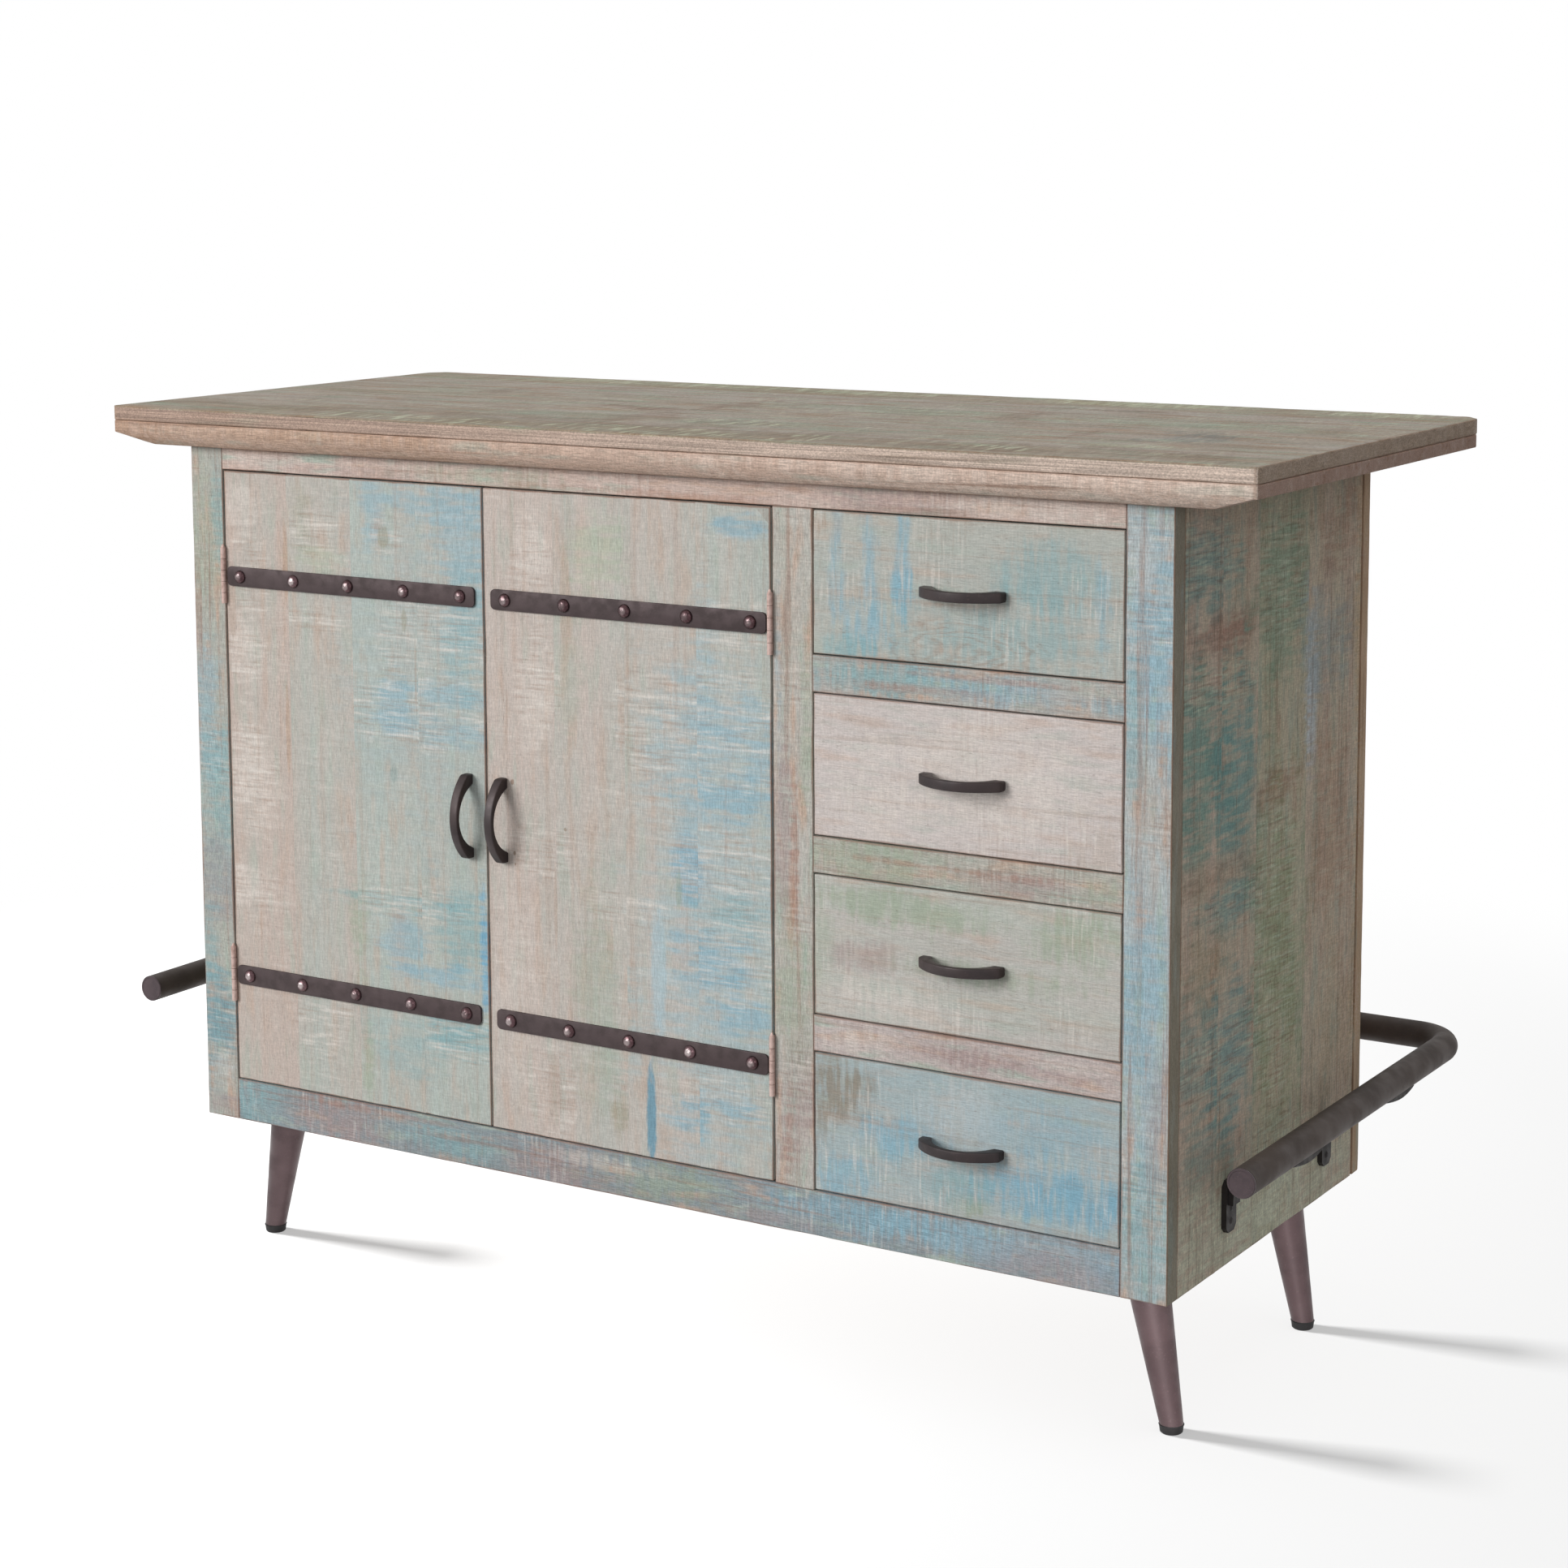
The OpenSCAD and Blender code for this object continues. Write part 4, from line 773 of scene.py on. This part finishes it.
def blackened(name, base, worn, roughness, patina, mottle=14.0, hammer=0.35, metal=1.0, crown=None):
    """Blackened and lacquered mild steel: dark brown, blotched, rubbed lighter on its high spots.
    metal is how much of it shines through the lacquer, and crown is the height in mm, counted along y,
    above which round heads are painted pale: partly rubbed wear, partly a painted highlight."""
    material, tree, place = new_material(name)
    blotch = streaks(tree, place, "x", mottle, mottle, 4.0)
    fine = streaks(tree, place, "x", 2.2, 2.2, 3.0)
    broad = streaks(tree, place, "x", 60, 60, 2.0)
    skin = blend(tree, ramp(tree, blotch, 0.38, 0.66, 0, 0.8), colour(base), colour(patina))
    skin = blend(tree, ramp(tree, fine, 0.6, 0.74, 0, 0.4), skin, colour(worn))
    skin = blend(tree, ramp(tree, broad, 0.4, 0.7, 0, 0.35), skin, colour(worn))
    # Round heads get a pale crown: partly rubbed wear, partly a painted highlight.
    if crown is not None:
        height = add(tree, "SeparateXYZ", {0: place}).outputs[1]
        worn_and_highlight = ramp(tree, height, crown + 1.3, crown + 0.2)
        worn_and_highlight = sums(tree, worn_and_highlight, ramp(tree, broad, 0.4, 0.6, 0.15, 0.9))
        skin = blend(tree, worn_and_highlight, skin, colour("#aca1a0"))
    relief = add(tree, "Math", {0: fine, 1: 0.3, 2: blotch}, operation="MULTIPLY_ADD").outputs[0]
    bump = add(tree, "Bump", {"Height": relief, "Distance": 0.0008, "Strength": hammer})
    close_material(tree, {
        "Base Color": skin,
        "Metallic": metal,
        "Roughness": ramp(tree, blotch, 0.3, 0.7, roughness - 0.08, roughness + 0.12),
        "Normal": bump.outputs[0],
    })
    return material


def extruded(name, outlines):
    """Flat bars and plates. Each outline is (points, push): a closed loop of points in space,
    pushed along a vector; all arrises are broken by a small bevel."""
    broken = 0.0006
    bm = bmesh.new()
    for points, push in outlines:
        bottom = [bm.verts.new(p) for p in points]
        top = [bm.verts.new(Vector(p) + Vector(push)) for p in points]
        bm.faces.new(bottom[::-1])
        bm.faces.new(top)
        for n in range(len(points)):
            m = (n + 1) % len(points)
            bm.faces.new((bottom[n], bottom[m], top[m], top[n]))
    bmesh.ops.recalc_face_normals(bm, faces=bm.faces)
    sharp = [e for e in bm.edges if e.calc_face_angle(0) > math.radians(30)]
    bmesh.ops.bevel(bm, geom=sharp, offset=broken, segments=2, affect="EDGES", profile=0.6)
    mesh = bpy.data.meshes.new(name)
    bm.to_mesh(mesh)
    bm.free()
    mesh.shade_smooth()
    mesh.set_sharp_from_angle(angle=math.radians(38))
    return mesh


def rounded_rectangle(low, high, radius, steps=6):
    """Points of a rectangle with round corners, counter-clockwise in its own plane."""
    centres = [
        (high[0] - radius, high[1] - radius), (low[0] + radius, high[1] - radius),
        (low[0] + radius, low[1] + radius), (high[0] - radius, low[1] + radius),
    ]
    points = []
    for quarter, (x, y) in enumerate(centres):
        for n in range(steps + 1):
            turn = math.pi / 2 * (quarter + n / steps)
            points.append((x + radius * math.cos(turn), y + radius * math.sin(turn)))
    return points


strap_iron = blackened("blackened_strap_steel", "#3d3031", "#4a3c3c", 0.55, "#352a2a", metal=0.4)
strap_w = 0.024
strap_t = 0.003
strap_corner = 0.006
for side in ("left", "right"):
    low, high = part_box("straps_" + side)
    bars = []
    for z0 in (low.z, high.z - strap_w):
        outline = rounded_rectangle((low.x, z0), (high.x, z0 + strap_w), strap_corner)
        bars.append(([(x, high.y, z) for x, z in outline], (0, -strap_t, 0)))
    fit(
        "strap_bars_" + side, extruded("strap_bars_" + side, bars), strap_iron,
        "door_" + side, "dark_iron", "straps_" + side,
    )

# ---------------------------------------------------------------------------------------------
# Rivets. Soft steel rivets with hand-hammered domed heads, painted pale on their crowns, partly as rubbed
# wear and partly as a painted highlight; each goes through strap, door board and batten and is closed flat
# at the back.
# ---------------------------------------------------------------------------------------------


def lathed(name, parts, steps=32, rough=0.0):
    """Round pieces. Each part is (profile, place, axis): radius and height pairs from one end to
    the other, set at a place along an axis; rough moves points in and out as hammering does."""
    verts, faces = [], []
    for profile, place, axis in parts:
        turn = Vector((0, 0, 1)).rotation_difference(Vector(axis)).to_matrix()
        start = len(verts)
        for radius, height in profile:
            for n in range(steps):
                angle = 2 * math.pi * n / steps
                spot = turn @ Vector((radius * math.cos(angle), radius * math.sin(angle), height))
                spot += Vector(place)
                if rough and radius > 0.0003:
                    spot += (turn @ Vector((0, 0, 1))) * rough * noise.noise(spot * 420)
                verts.append(spot)
        for ring in range(len(profile) - 1):
            for n in range(steps):
                m = (n + 1) % steps
                a, b = start + ring * steps, start + (ring + 1) * steps
                faces.append((a + n, a + m, b + m, b + n))
        faces.append([start + n for n in reversed(range(steps))])
        faces.append([start + (len(profile) - 1) * steps + n for n in range(steps)])
    return finished(name, verts, faces)


rivet_count = 5
rivet_inset = 0.0205
rivet_r = 0.008
rivet_h = 0.0055
rivet_tail_r = 0.0045
rivet_tail_h = 0.002
crown = (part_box("straps_left")[0].y - rivet_h) * 1000 - corner_mm.y
# The rivet crowns are painted pale, partly as wear and partly as a painted highlight.
rivet_steel = blackened("worn_and_highlit_rivet_steel", "#4e383b", "#8a7074", 0.3, "#3a282b", 3.0, 0.5, 0.85, crown)
dome = [(rivet_r * math.cos(a), rivet_h * math.sin(a)) for a in [math.pi / 2 * n / 8 for n in range(8)]]
dome.append((0.0002, rivet_h))
tail = [(rivet_tail_r, 0), (rivet_tail_r, rivet_tail_h * 0.7), (rivet_tail_r * 0.85, rivet_tail_h)]
for side in ("left", "right"):
    low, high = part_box("straps_" + side)
    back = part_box("rivets_" + side)[1].y - rivet_tail_h
    heads = []
    for z in (low.z + strap_w / 2, high.z - strap_w / 2):
        for n in range(rivet_count):
            span = high.x - low.x - 2 * rivet_inset
            x = low.x + rivet_inset + span * n / (rivet_count - 1)
            heads.append((dome, (x, low.y, z), (0, -1, 0)))
            heads.append((tail, (x, back, z), (0, 1, 0)))
    fit(
        "rivet_heads_" + side, lathed("rivet_heads_" + side, heads, 24, 0.0005), rivet_steel,
        "door_" + side, "rivet_steel", "rivets_" + side,
    )

# ---------------------------------------------------------------------------------------------
# Bow pulls. Forged steel bows, darker and glossier than the straps, with a flat foot at each
# end that is screwed on from behind the door or drawer front.
# ---------------------------------------------------------------------------------------------
pull_iron = blackened("oiled_forged_steel", "#2d2324", "#4c3c3a", 0.45, "#241c1d", 20.0, 0.2, 0.35)
pull_w = 0.011
pull_foot = 0.012
pull_t = 0.006
pull_foot_rise = 0.010
pull_round = 0.0014
pull_end_round = 0.0016
bow_steps = 56
round_steps = 3


def bow_pull(name, node, upright):
    """A bow between two feet, lofted from rounded sections across its length."""
    low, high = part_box(node)
    middle = (low + high) / 2
    half = (high.z - low.z if upright else high.x - low.x) / 2
    front = node.replace("_pull", "_front" if "drawer" in node else "")
    face_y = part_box(front)[0].y
    out = face_y - low.y
    rise = out - pull_foot_rise
    outer_r = (half * half + rise * rise) / (2 * rise)
    inner_half = half - pull_foot
    inner_rise = out - pull_t
    inner_r = (inner_half ** 2 + inner_rise ** 2) / (2 * inner_rise)
    ends = [-half, -half + 0.0006, -half + pull_end_round]
    first = -half + 0.003
    run = [first - 2 * first * n / bow_steps for n in range(bow_steps + 1)]
    verts, faces = [], []
    places = ends + run + [-t for t in reversed(ends)]
    for t in places:
        trim = max(0.0, pull_end_round - (half - abs(t)))
        draw = pull_end_round - math.sqrt(max(0.0, pull_end_round ** 2 - trim ** 2))
        far = out - outer_r + math.sqrt(outer_r ** 2 - t * t) - draw
        near = 0.0
        if abs(t) < inner_half:
            near = max(0.0, out - pull_t - inner_r + math.sqrt(inner_r ** 2 - t * t))
        wide = pull_w / 2 - draw
        for u, v in rounded_rectangle((-wide, near), (wide, far), pull_round, round_steps):
            if upright:
                verts.append((middle.x + u, face_y - v, middle.z + t))
            else:
                verts.append((middle.x + t, face_y - v, middle.z + u))
    ring = 4 * (round_steps + 1)
    for s in range(len(places) - 1):
        for n in range(ring):
            m = (n + 1) % ring
            faces.append((s * ring + n, s * ring + m, (s + 1) * ring + m, (s + 1) * ring + n))
    faces.append(list(range(ring)))
    faces.append([(len(places) - 1) * ring + n for n in reversed(range(ring))])
    return finished(name, verts, faces, turned_out=True)


# The screws' heads show inside the doors and drawers.
screw_steel = blackened("zinc_screw_steel", "#9a9a96", "#c2c2be", 0.35, "#7d7d78", 4.0, 0.2)
pull_screw_r = 0.004
pull_screw_h = 0.0025
pull_screw_head = [(pull_screw_r, 0), (pull_screw_r, 0.0012), (0.0033, 0.0021), (0.0018, pull_screw_h)]
pulls = [("door_pull_left", "door_left", True), ("door_pull_right", "door_right", True)]
pulls += [("drawer_pull_%d" % n, "drawer_%d" % n, False) for n in (1, 2, 3, 4)]
for node, body, upright in pulls:
    low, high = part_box(node)
    middle = (low + high) / 2
    along = (high.z - low.z if upright else high.x - low.x) / 2 - pull_foot / 2
    heads = []
    for way in (-along, along):
        spot = (middle.x, high.y - pull_screw_h, middle.z + way)
        if not upright:
            spot = (middle.x + way, high.y - pull_screw_h, middle.z)
        heads.append((pull_screw_head, spot, (0, 1, 0)))
    bow = node + "_bow"
    fit(bow, bow_pull(bow, node, upright), pull_iron, body, "pull_iron", node)
    fit(node + "_screws", lathed(node + "_screws", heads, 20), screw_steel, body, "screw_steel")

# ---------------------------------------------------------------------------------------------
# Hinges. Folded steel butt hinges, copper washed and then brushed over with the limewash, so
# their knuckles look pinkish; a loose pin with a flat head drops in from above.
# ---------------------------------------------------------------------------------------------
hinge_copper = blackened("coppered_hinge_steel", "#c4a79e", "#e0cbc3", 0.5, "#a3857b", 6.0, 0.3, 0.2)
for node in ("hinge_frame_leaves", "hinge_door_leaves_left", "hinge_door_leaves_right", "hinge_pins"):
    refinish(node, hinge_copper)

# ---------------------------------------------------------------------------------------------
# Catch. A moulded double magnetic catch under the top rail holds both doors by a small steel
# strike plate on each.
# ---------------------------------------------------------------------------------------------
material, tree, place = new_material("moulded_ivory_plastic")
speckle = streaks(tree, place, "x", 1.5, 1.5, 2.0)
close_material(tree, {
    "Base Color": blend(tree, ramp(tree, speckle, 0.3, 0.7, 0, 0.3), colour("#d8d4cc"), colour("#c6c0b4")),
    "Roughness": 0.45,
    "Normal": add(tree, "Bump", {"Height": speckle, "Distance": 0.0003, "Strength": 0.2}).outputs[0],
})
refinish("door_catch", material)
for node in ("catch_strike_left", "catch_strike_right"):
    refinish(node, screw_steel)

# ---------------------------------------------------------------------------------------------
# Drawer fronts. One wide board each, grain along the front: the top and bottom ones kept blue
# paint, the second is nearly bare lime and the third is soft green.
# ---------------------------------------------------------------------------------------------
drawer_paints = {
    1: ("drawer_blue_green", ("#b6b3a9", "#aab1ad"), [
        (sky, (920, 765), (9, 70), 0.55), (sky, (962, 760), (10, 62), 0.6),
        (sky, (1000, 770), (11, 60), 0.7),
        (sky, (955, 690), (30, 26), 0.7), (turquoise, (935, 668), (34, 18), 0.7),
        (sky, (1003, 728), (12, 26), 0.8),
        (turquoise, (1120, 690), (120, 44), 0.5), (turquoise, (1185, 760), (60, 34), 0.55),
        ("#a5907f", (900, 800), (26, 14), 0.6), (sky, (1240, 740), (9, 60), 0.4),
    ], ((1075, 672), (105, 38), 0.1)),
    2: ("drawer_cream", ("#cdc4c0", "#c6bdb9"), [
        (chalk, (1100, 540), (110, 60), 0.6), (chalk, (960, 500), (50, 60), 0.35),
        ("#b3a396", (1240, 470), (30, 40), 0.4),
    ], None),
    3: ("drawer_soft_green", ("#bfb7b3", "#b3b8af"), [
        (sage, (1000, 385), (110, 18), 0.7), (sage, (1215, 378), (50, 36), 0.7),
        (chalk, (980, 285), (80, 24), 0.5),
        (mauve, (955, 325), (46, 16), 0.5), (sage, (1110, 325), (110, 12), 0.5),
        (sage, (900, 350), (14, 60), 0.4),
    ], None),
    4: ("drawer_blue", ("#acb3b1", "#9db0b5"), [
        ("#8a7d6c", (925, 175), (34, 36), 0.75), ("#8a7d6c", (900, 130), (20, 20), 0.5),
        (sky, (1000, 130), (50, 22), 0.85),
        ("#7ba9bd", (1190, 95), (80, 34), 0.85), (sky, (930, 75), (40, 22), 0.7),
        (chalk, (1080, 165), (50, 34), 0.45),
        (sky, (1150, 160), (120, 30), 0.4), ("#8f9a7e", (1090, 66), (26, 10), 0.6),
        (turquoise, (1060, 90), (50, 24), 0.5),
    ], None),
}
for n, (slot, grounds, washes, heart) in drawer_paints.items():
    node = "drawer_front_%d" % n
    paint = timber(
        "limed_mango_drawer_%d" % n, grounds, "x", "xz", washes, lime_share=0.5, bare="#86624f",
        bare_share=0.6, figure="#98806f", figure_share=0.28, heart=heart, contrast=0.9, hue=0.7,
    )
    fit(
        node + "_timber", planks(node + "_timber", [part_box(node)], tones=[0.5], lip=0.0018),
        paint, "drawer_%d" % n, slot, node,
    )

# ---------------------------------------------------------------------------------------------
# Legs. Tapered steel tubes spun to a cone, welded to a plate and splayed outwards; purplish
# brown bronze lacquer, screwed up into the bearers, each on a dark rubber glide.
# ---------------------------------------------------------------------------------------------
leg_iron = blackened("bronzed_leg_steel", "#5b484a", "#705c5e", 0.42, "#4e3d3f", 26.0, 0.1, 0.3)
leg_top_r = 0.024
leg_foot_r = 0.013
pad_h = 0.010
pad_rim_r = 0.014
pad_sole_r = 0.0125
pad_edge = 0.0012
leg_splay = 0.031
leg_over = 0.010
leg_rings = 12
rubber, tree, place = new_material("moulded_black_rubber")
grime = streaks(tree, place, "x", 7, 7, 3.0)
close_material(tree, {
    "Base Color": blend(tree, ramp(tree, grime, 0.4, 0.7, 0, 0.5), colour("#171516"), colour("#2a2627")),
    "Roughness": 0.7,
    "Normal": add(tree, "Bump", {"Height": grime, "Distance": 0.0004, "Strength": 0.3}).outputs[0],
})
pad_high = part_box("foot_pads")[1]
leg_parts, pad_parts = {"legs_front": [], "legs_back": []}, []
for node, parts in leg_parts.items():
    low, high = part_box(node)
    y = (low.y + high.y) / 2
    for way in (-1, 1):
        foot = Vector((way * (pad_high.x - pad_rim_r), y, low.z))
        top = Vector((way * (pad_high.x - pad_rim_r - leg_splay), y, high.z))
        lean = top - foot
        length = lean.length
        over = leg_over / length
        profile = []
        for n in range(leg_rings + 1):
            share = -over + (1 + 2 * over) * n / leg_rings
            profile.append((leg_foot_r + (leg_top_r - leg_foot_r) * share, share * length))
        parts.append((profile, foot, lean))
        sole = foot - Vector((0, 0, pad_h))
        pad = [
            (pad_sole_r - pad_edge, 0), (pad_sole_r, pad_edge), (pad_rim_r - 0.0006, pad_h - 0.0018),
            (pad_rim_r, pad_h - 0.0010), (pad_rim_r - 0.0008, pad_h),
        ]
        pad_parts.append((pad, sole, (0, 0, 1)))
for node, parts in leg_parts.items():
    low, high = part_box(node)
    mesh = lathed(node + "_cones", parts, 56)
    bm = bmesh.new()
    bm.from_mesh(mesh)
    for level, side in ((low.z, -1), (high.z, 1)):
        everything = bm.verts[:] + bm.edges[:] + bm.faces[:]
        cut = bmesh.ops.bisect_plane(
            bm, geom=everything, plane_co=(0, 0, level), plane_no=(0, 0, side), clear_outer=True
        )
        rims = [g for g in cut["geom_cut"] if isinstance(g, bmesh.types.BMEdge)]
        bmesh.ops.holes_fill(bm, edges=rims, sides=0)
    bm.to_mesh(mesh)
    bm.free()
    mesh.shade_smooth()
    mesh.set_sharp_from_angle(angle=math.radians(40))
    fit(node + "_cones", mesh, leg_iron, "cabinet", "leg_iron", node)
fit(
    "rubber_glides", lathed("rubber_glides", pad_parts, 40),
    rubber, "cabinet", "pad_rubber", "foot_pads",
)
refinish("leg_plates", strap_iron)

# ---------------------------------------------------------------------------------------------
# Foot rail. One steel tube bent round both ends and the back, lacquered like the legs but painted darker,
# as painted shade in place of the dark surroundings it reflects; a thin disc is welded into each end and
# shows a bright rim.
# ---------------------------------------------------------------------------------------------
# The rail's dark base colour is painted shade, standing in for dark reflections.
rail_iron = blackened("bronzed_rail_steel", "#3b302b", "#4d4038", 0.62, "#302722", 30.0, 0.1, 0.15)
rail_low, rail_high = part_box("foot_rail")
rail_r = (rail_high.z - rail_low.z) / 2
rail_z = (rail_high.z + rail_low.z) / 2
rail_x = rail_high.x - rail_r
rail_y = rail_high.y - rail_r
rail_wall = 0.002
bend_r = 0.045
bend_steps = 14
straight_steps = 12
route = [Vector((-rail_x, rail_low.y, rail_z))]
run_y = rail_y - bend_r
for n in range(1, straight_steps):
    route.append(Vector((-rail_x, rail_low.y + (run_y - rail_low.y) * n / straight_steps, rail_z)))
for n in range(bend_steps + 1):
    turn = math.pi / 2 * n / bend_steps
    route.append(Vector((
        -rail_x + bend_r - bend_r * math.cos(turn), run_y + bend_r * math.sin(turn), rail_z
    )))
half_back = rail_x - bend_r
for n in range(1, straight_steps):
    route.append(Vector((-half_back + half_back * n / straight_steps, rail_y, rail_z)))
route += [Vector((0, rail_y, rail_z))]
route += [Vector((-p.x, p.y, p.z)) for p in reversed(route[:-1])]


def tube(name, path, outer, inner):
    """A tube with walls and open ends, swept along a level path."""
    steps = 40
    verts, faces = [], []
    for radius in (outer, inner):
        for n, point in enumerate(path):
            ahead = path[min(n + 1, len(path) - 1)] - path[max(n - 1, 0)]
            aside = ahead.cross(Vector((0, 0, 1))).normalized()
            for k in range(steps):
                angle = 2 * math.pi * k / steps
                lift = Vector((0, 0, radius * math.sin(angle)))
                verts.append(point + aside * (radius * math.cos(angle)) + lift)
    count = len(path) * steps
    for n in range(len(path) - 1):
        for k in range(steps):
            m = (k + 1) % steps
            a, b = n * steps, (n + 1) * steps
            faces.append((a + k, a + m, b + m, b + k))
            faces.append((count + a + m, count + a + k, count + b + k, count + b + m))
    for end, flip in ((0, False), ((len(path) - 1) * steps, True)):
        for k in range(steps):
            m = (k + 1) % steps
            quad = (end + k, count + end + k, count + end + m, end + m)
            faces.append(quad[::-1] if flip else quad)
    return finished(name, verts, faces, turned_out=True)


fit(
    "foot_rail_tube", tube("foot_rail_tube", route, rail_r, rail_r - rail_wall), rail_iron,
    "cabinet", "leg_iron", "foot_rail",
)
cap_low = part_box("rail_end_caps")[0]
cap_iron = blackened("bronzed_cap_steel", "#483c3f", "#5f5255", 0.45, "#3e3437", 9.0, 0.2, 0.5)
cap_t = rail_low.y - cap_low.y
cap = [
    (rail_r - 0.0004, 0), (rail_r, 0.0006), (rail_r, cap_t - 0.0010), (rail_r - 0.0009, cap_t),
    (rail_r - 0.0022, cap_t), (rail_r - 0.0028, cap_t - 0.0006), (0.0004, cap_t - 0.0006),
]
caps = [(cap, (way * rail_x, rail_low.y, rail_z), (0, -1, 0)) for way in (-1, 1)]
fit(
    "rail_end_discs", lathed("rail_end_discs", caps, 48),
    cap_iron, "cabinet", "leg_iron", "rail_end_caps",
)

# ---------------------------------------------------------------------------------------------
# Rail brackets and screws. A plate with clipped corners, a flat bar bent outwards from its top
# and a saddle that cradles the rail, all welded; two screws hold each plate, four each leg's.
# ---------------------------------------------------------------------------------------------
bracket_iron = blackened(
    "blackened_bracket_steel", "#231f1e", "#302b2a", 0.58, "#1d1a1a", 12.0, 0.3, 0.5
)
refinish("rail_brackets", bracket_iron)
refinish("fixing_screws", bracket_iron)

# ---------------------------------------------------------------------------------------------
# Studio. White paper that keeps the object's shadow, a broad soft light from the front left, weak
# ones from the right and above, lamps of their own for paper and legs, and a camera at the
# photographed viewing angle.
# ---------------------------------------------------------------------------------------------
floor_size = 40
paper_near_r = 1.3
paper_far_r = 2.4
paper_glow = 0.43
room_light = 0.42


def seen_directly(tree):
    """One for what the camera sees, also in a mirror or through glass, and nought for lighting."""
    path = add(tree, "LightPath").outputs
    seen = sums(tree, path["Is Camera Ray"], path["Is Glossy Ray"], "MAXIMUM")
    return sums(tree, seen, path["Is Transmission Ray"], "MAXIMUM")


bm = bmesh.new()
bmesh.ops.create_grid(bm, x_segments=8, y_segments=8, size=floor_size / 2)
mesh = bpy.data.meshes.new("studio_floor")
bm.to_mesh(mesh)
bm.free()
floor_material = bpy.data.materials.new("matt_white_paper")
floor_material.use_nodes = True
tree = floor_material.node_tree
tree.nodes.clear()
seen = seen_directly(tree)
paper = add(tree, "BsdfDiffuse", {"Color": blend(tree, seen, colour("#646464"), colour("#a2a2a2"))})
glow = add(tree, "Emission", {"Color": (1, 1, 1, 1), "Strength": sums(tree, seen, paper_glow)})
near = add(tree, "AddShader", {0: paper.outputs[0], 1: glow.outputs[0]})
# Away from the object the paper fades into plain white.
white = add(tree, "Emission", {"Color": (1, 1, 1, 1), "Strength": seen})
spot = add(tree, "TexCoord").outputs["Object"]
away = add(tree, "VectorMath", {0: spot}, operation="LENGTH").outputs["Value"]
both = add(tree, "MixShader", {0: sums(tree, ramp(tree, away, paper_near_r, paper_far_r), seen)})
tree.links.new(near.outputs[0], both.inputs[1])
tree.links.new(white.outputs[0], both.inputs[2])
add(tree, "OutputMaterial", {"Surface": both.outputs[0]})
mesh.materials.append(floor_material)
floor = bpy.data.objects.new("studio_floor", mesh)
bpy.context.scene.collection.objects.link(floor)

world = bpy.data.worlds.new("studio_room")
bpy.context.scene.world = world
world.use_nodes = True
tree = world.node_tree
tree.nodes.clear()
seen = seen_directly(tree)
level = add(tree, "MapRange", {"Value": seen, "To Min": room_light, "To Max": 1.0}).outputs[0]
room = add(tree, "Background", {"Color": (1, 1, 1, 1), "Strength": level})
add(tree, "OutputWorld", {"Surface": room.outputs[0]})


def softbox(name, place, target, size, power):
    """A square area lamp that looks at a point."""
    lamp = bpy.data.lights.new(name, "AREA")
    lamp.size = size
    lamp.energy = power
    thing = bpy.data.objects.new(name, lamp)
    thing.location = place
    thing.rotation_euler = (Vector(target) - Vector(place)).to_track_quat("-Z", "Y").to_euler()
    bpy.context.scene.collection.objects.link(thing)
    return thing


key = softbox("key_softbox", (-4.4, -7.6, 3.9), (0, 0, 0.55), 4.4, 635)
fill = softbox("fill_softbox", (4.2, -4.6, 2.4), (0.3, 0, 0.5), 2.2, 42)
top = softbox("top_softbox", (0.2, 0.2, 5.2), (0, 0, 0.9), 3.2, 36)
paper_lamp = softbox("floor_softbox", (-5.0, -1.0, 3.4), (0, 0, 0), 1.2, 960)
leg_lamp = softbox("leg_softbox", (1.2, -1.7, 0.4), (0.7, 0, 0.07), 0.4, 32)
# The floor takes its light from a lamp of its own, which draws the shadows of the feet.
paper_only = bpy.data.collections.new("paper_only")
paper_only.objects.link(floor)
paper_lamp.light_linking.receiver_collection = paper_only
feet_only = bpy.data.collections.new("feet_only")
for thing in bpy.data.objects:
    if thing.name.startswith(("legs_", "rubber_glides")):
        feet_only.objects.link(thing)
paper_lamp.light_linking.blocker_collection = feet_only
# A small low lamp lights the legs alone, and puts a highlight on the nearest ones.
leg_lamp.light_linking.receiver_collection = feet_only
upper_only = bpy.data.collections.new("all_but_paper_and_feet")
for thing in [floor] + list(feet_only.objects):
    upper_only.objects.link(thing)
for member in upper_only.collection_objects:
    member.light_linking.link_state = "EXCLUDE"
for lamp in (key, fill, top):
    lamp.light_linking.receiver_collection = upper_only

picture = 1932
focal_px = 4001.1
axis_y_px = 676.2
camera_data = bpy.data.cameras.new("viewing_camera")
camera_data.sensor_width = 36
camera_data.lens = camera_data.sensor_width * focal_px / picture
camera_data.shift_y = (axis_y_px - picture / 2) / picture
camera_data.clip_end = 60
camera = bpy.data.objects.new("viewing_camera", camera_data)
camera_place = Vector((2.0440, -3.2776, 1.3897))
yaw, pitch, roll = math.radians(-31.837), math.radians(7.297), math.radians(0.257)
ahead = Vector((
    math.sin(yaw) * math.cos(pitch), math.cos(yaw) * math.cos(pitch), -math.sin(pitch)
))
right = Vector((math.cos(yaw), -math.sin(yaw), 0))
down = ahead.cross(right)
turned_right = right * math.cos(roll) + down * math.sin(roll)
turned_down = down * math.cos(roll) - right * math.sin(roll)
stand = Matrix((turned_right, -turned_down, -ahead)).transposed().to_4x4()
stand.translation = camera_place
camera.matrix_world = stand
bpy.context.scene.collection.objects.link(camera)
bpy.context.scene.camera = camera
bpy.context.scene.view_settings.view_transform = "Standard"
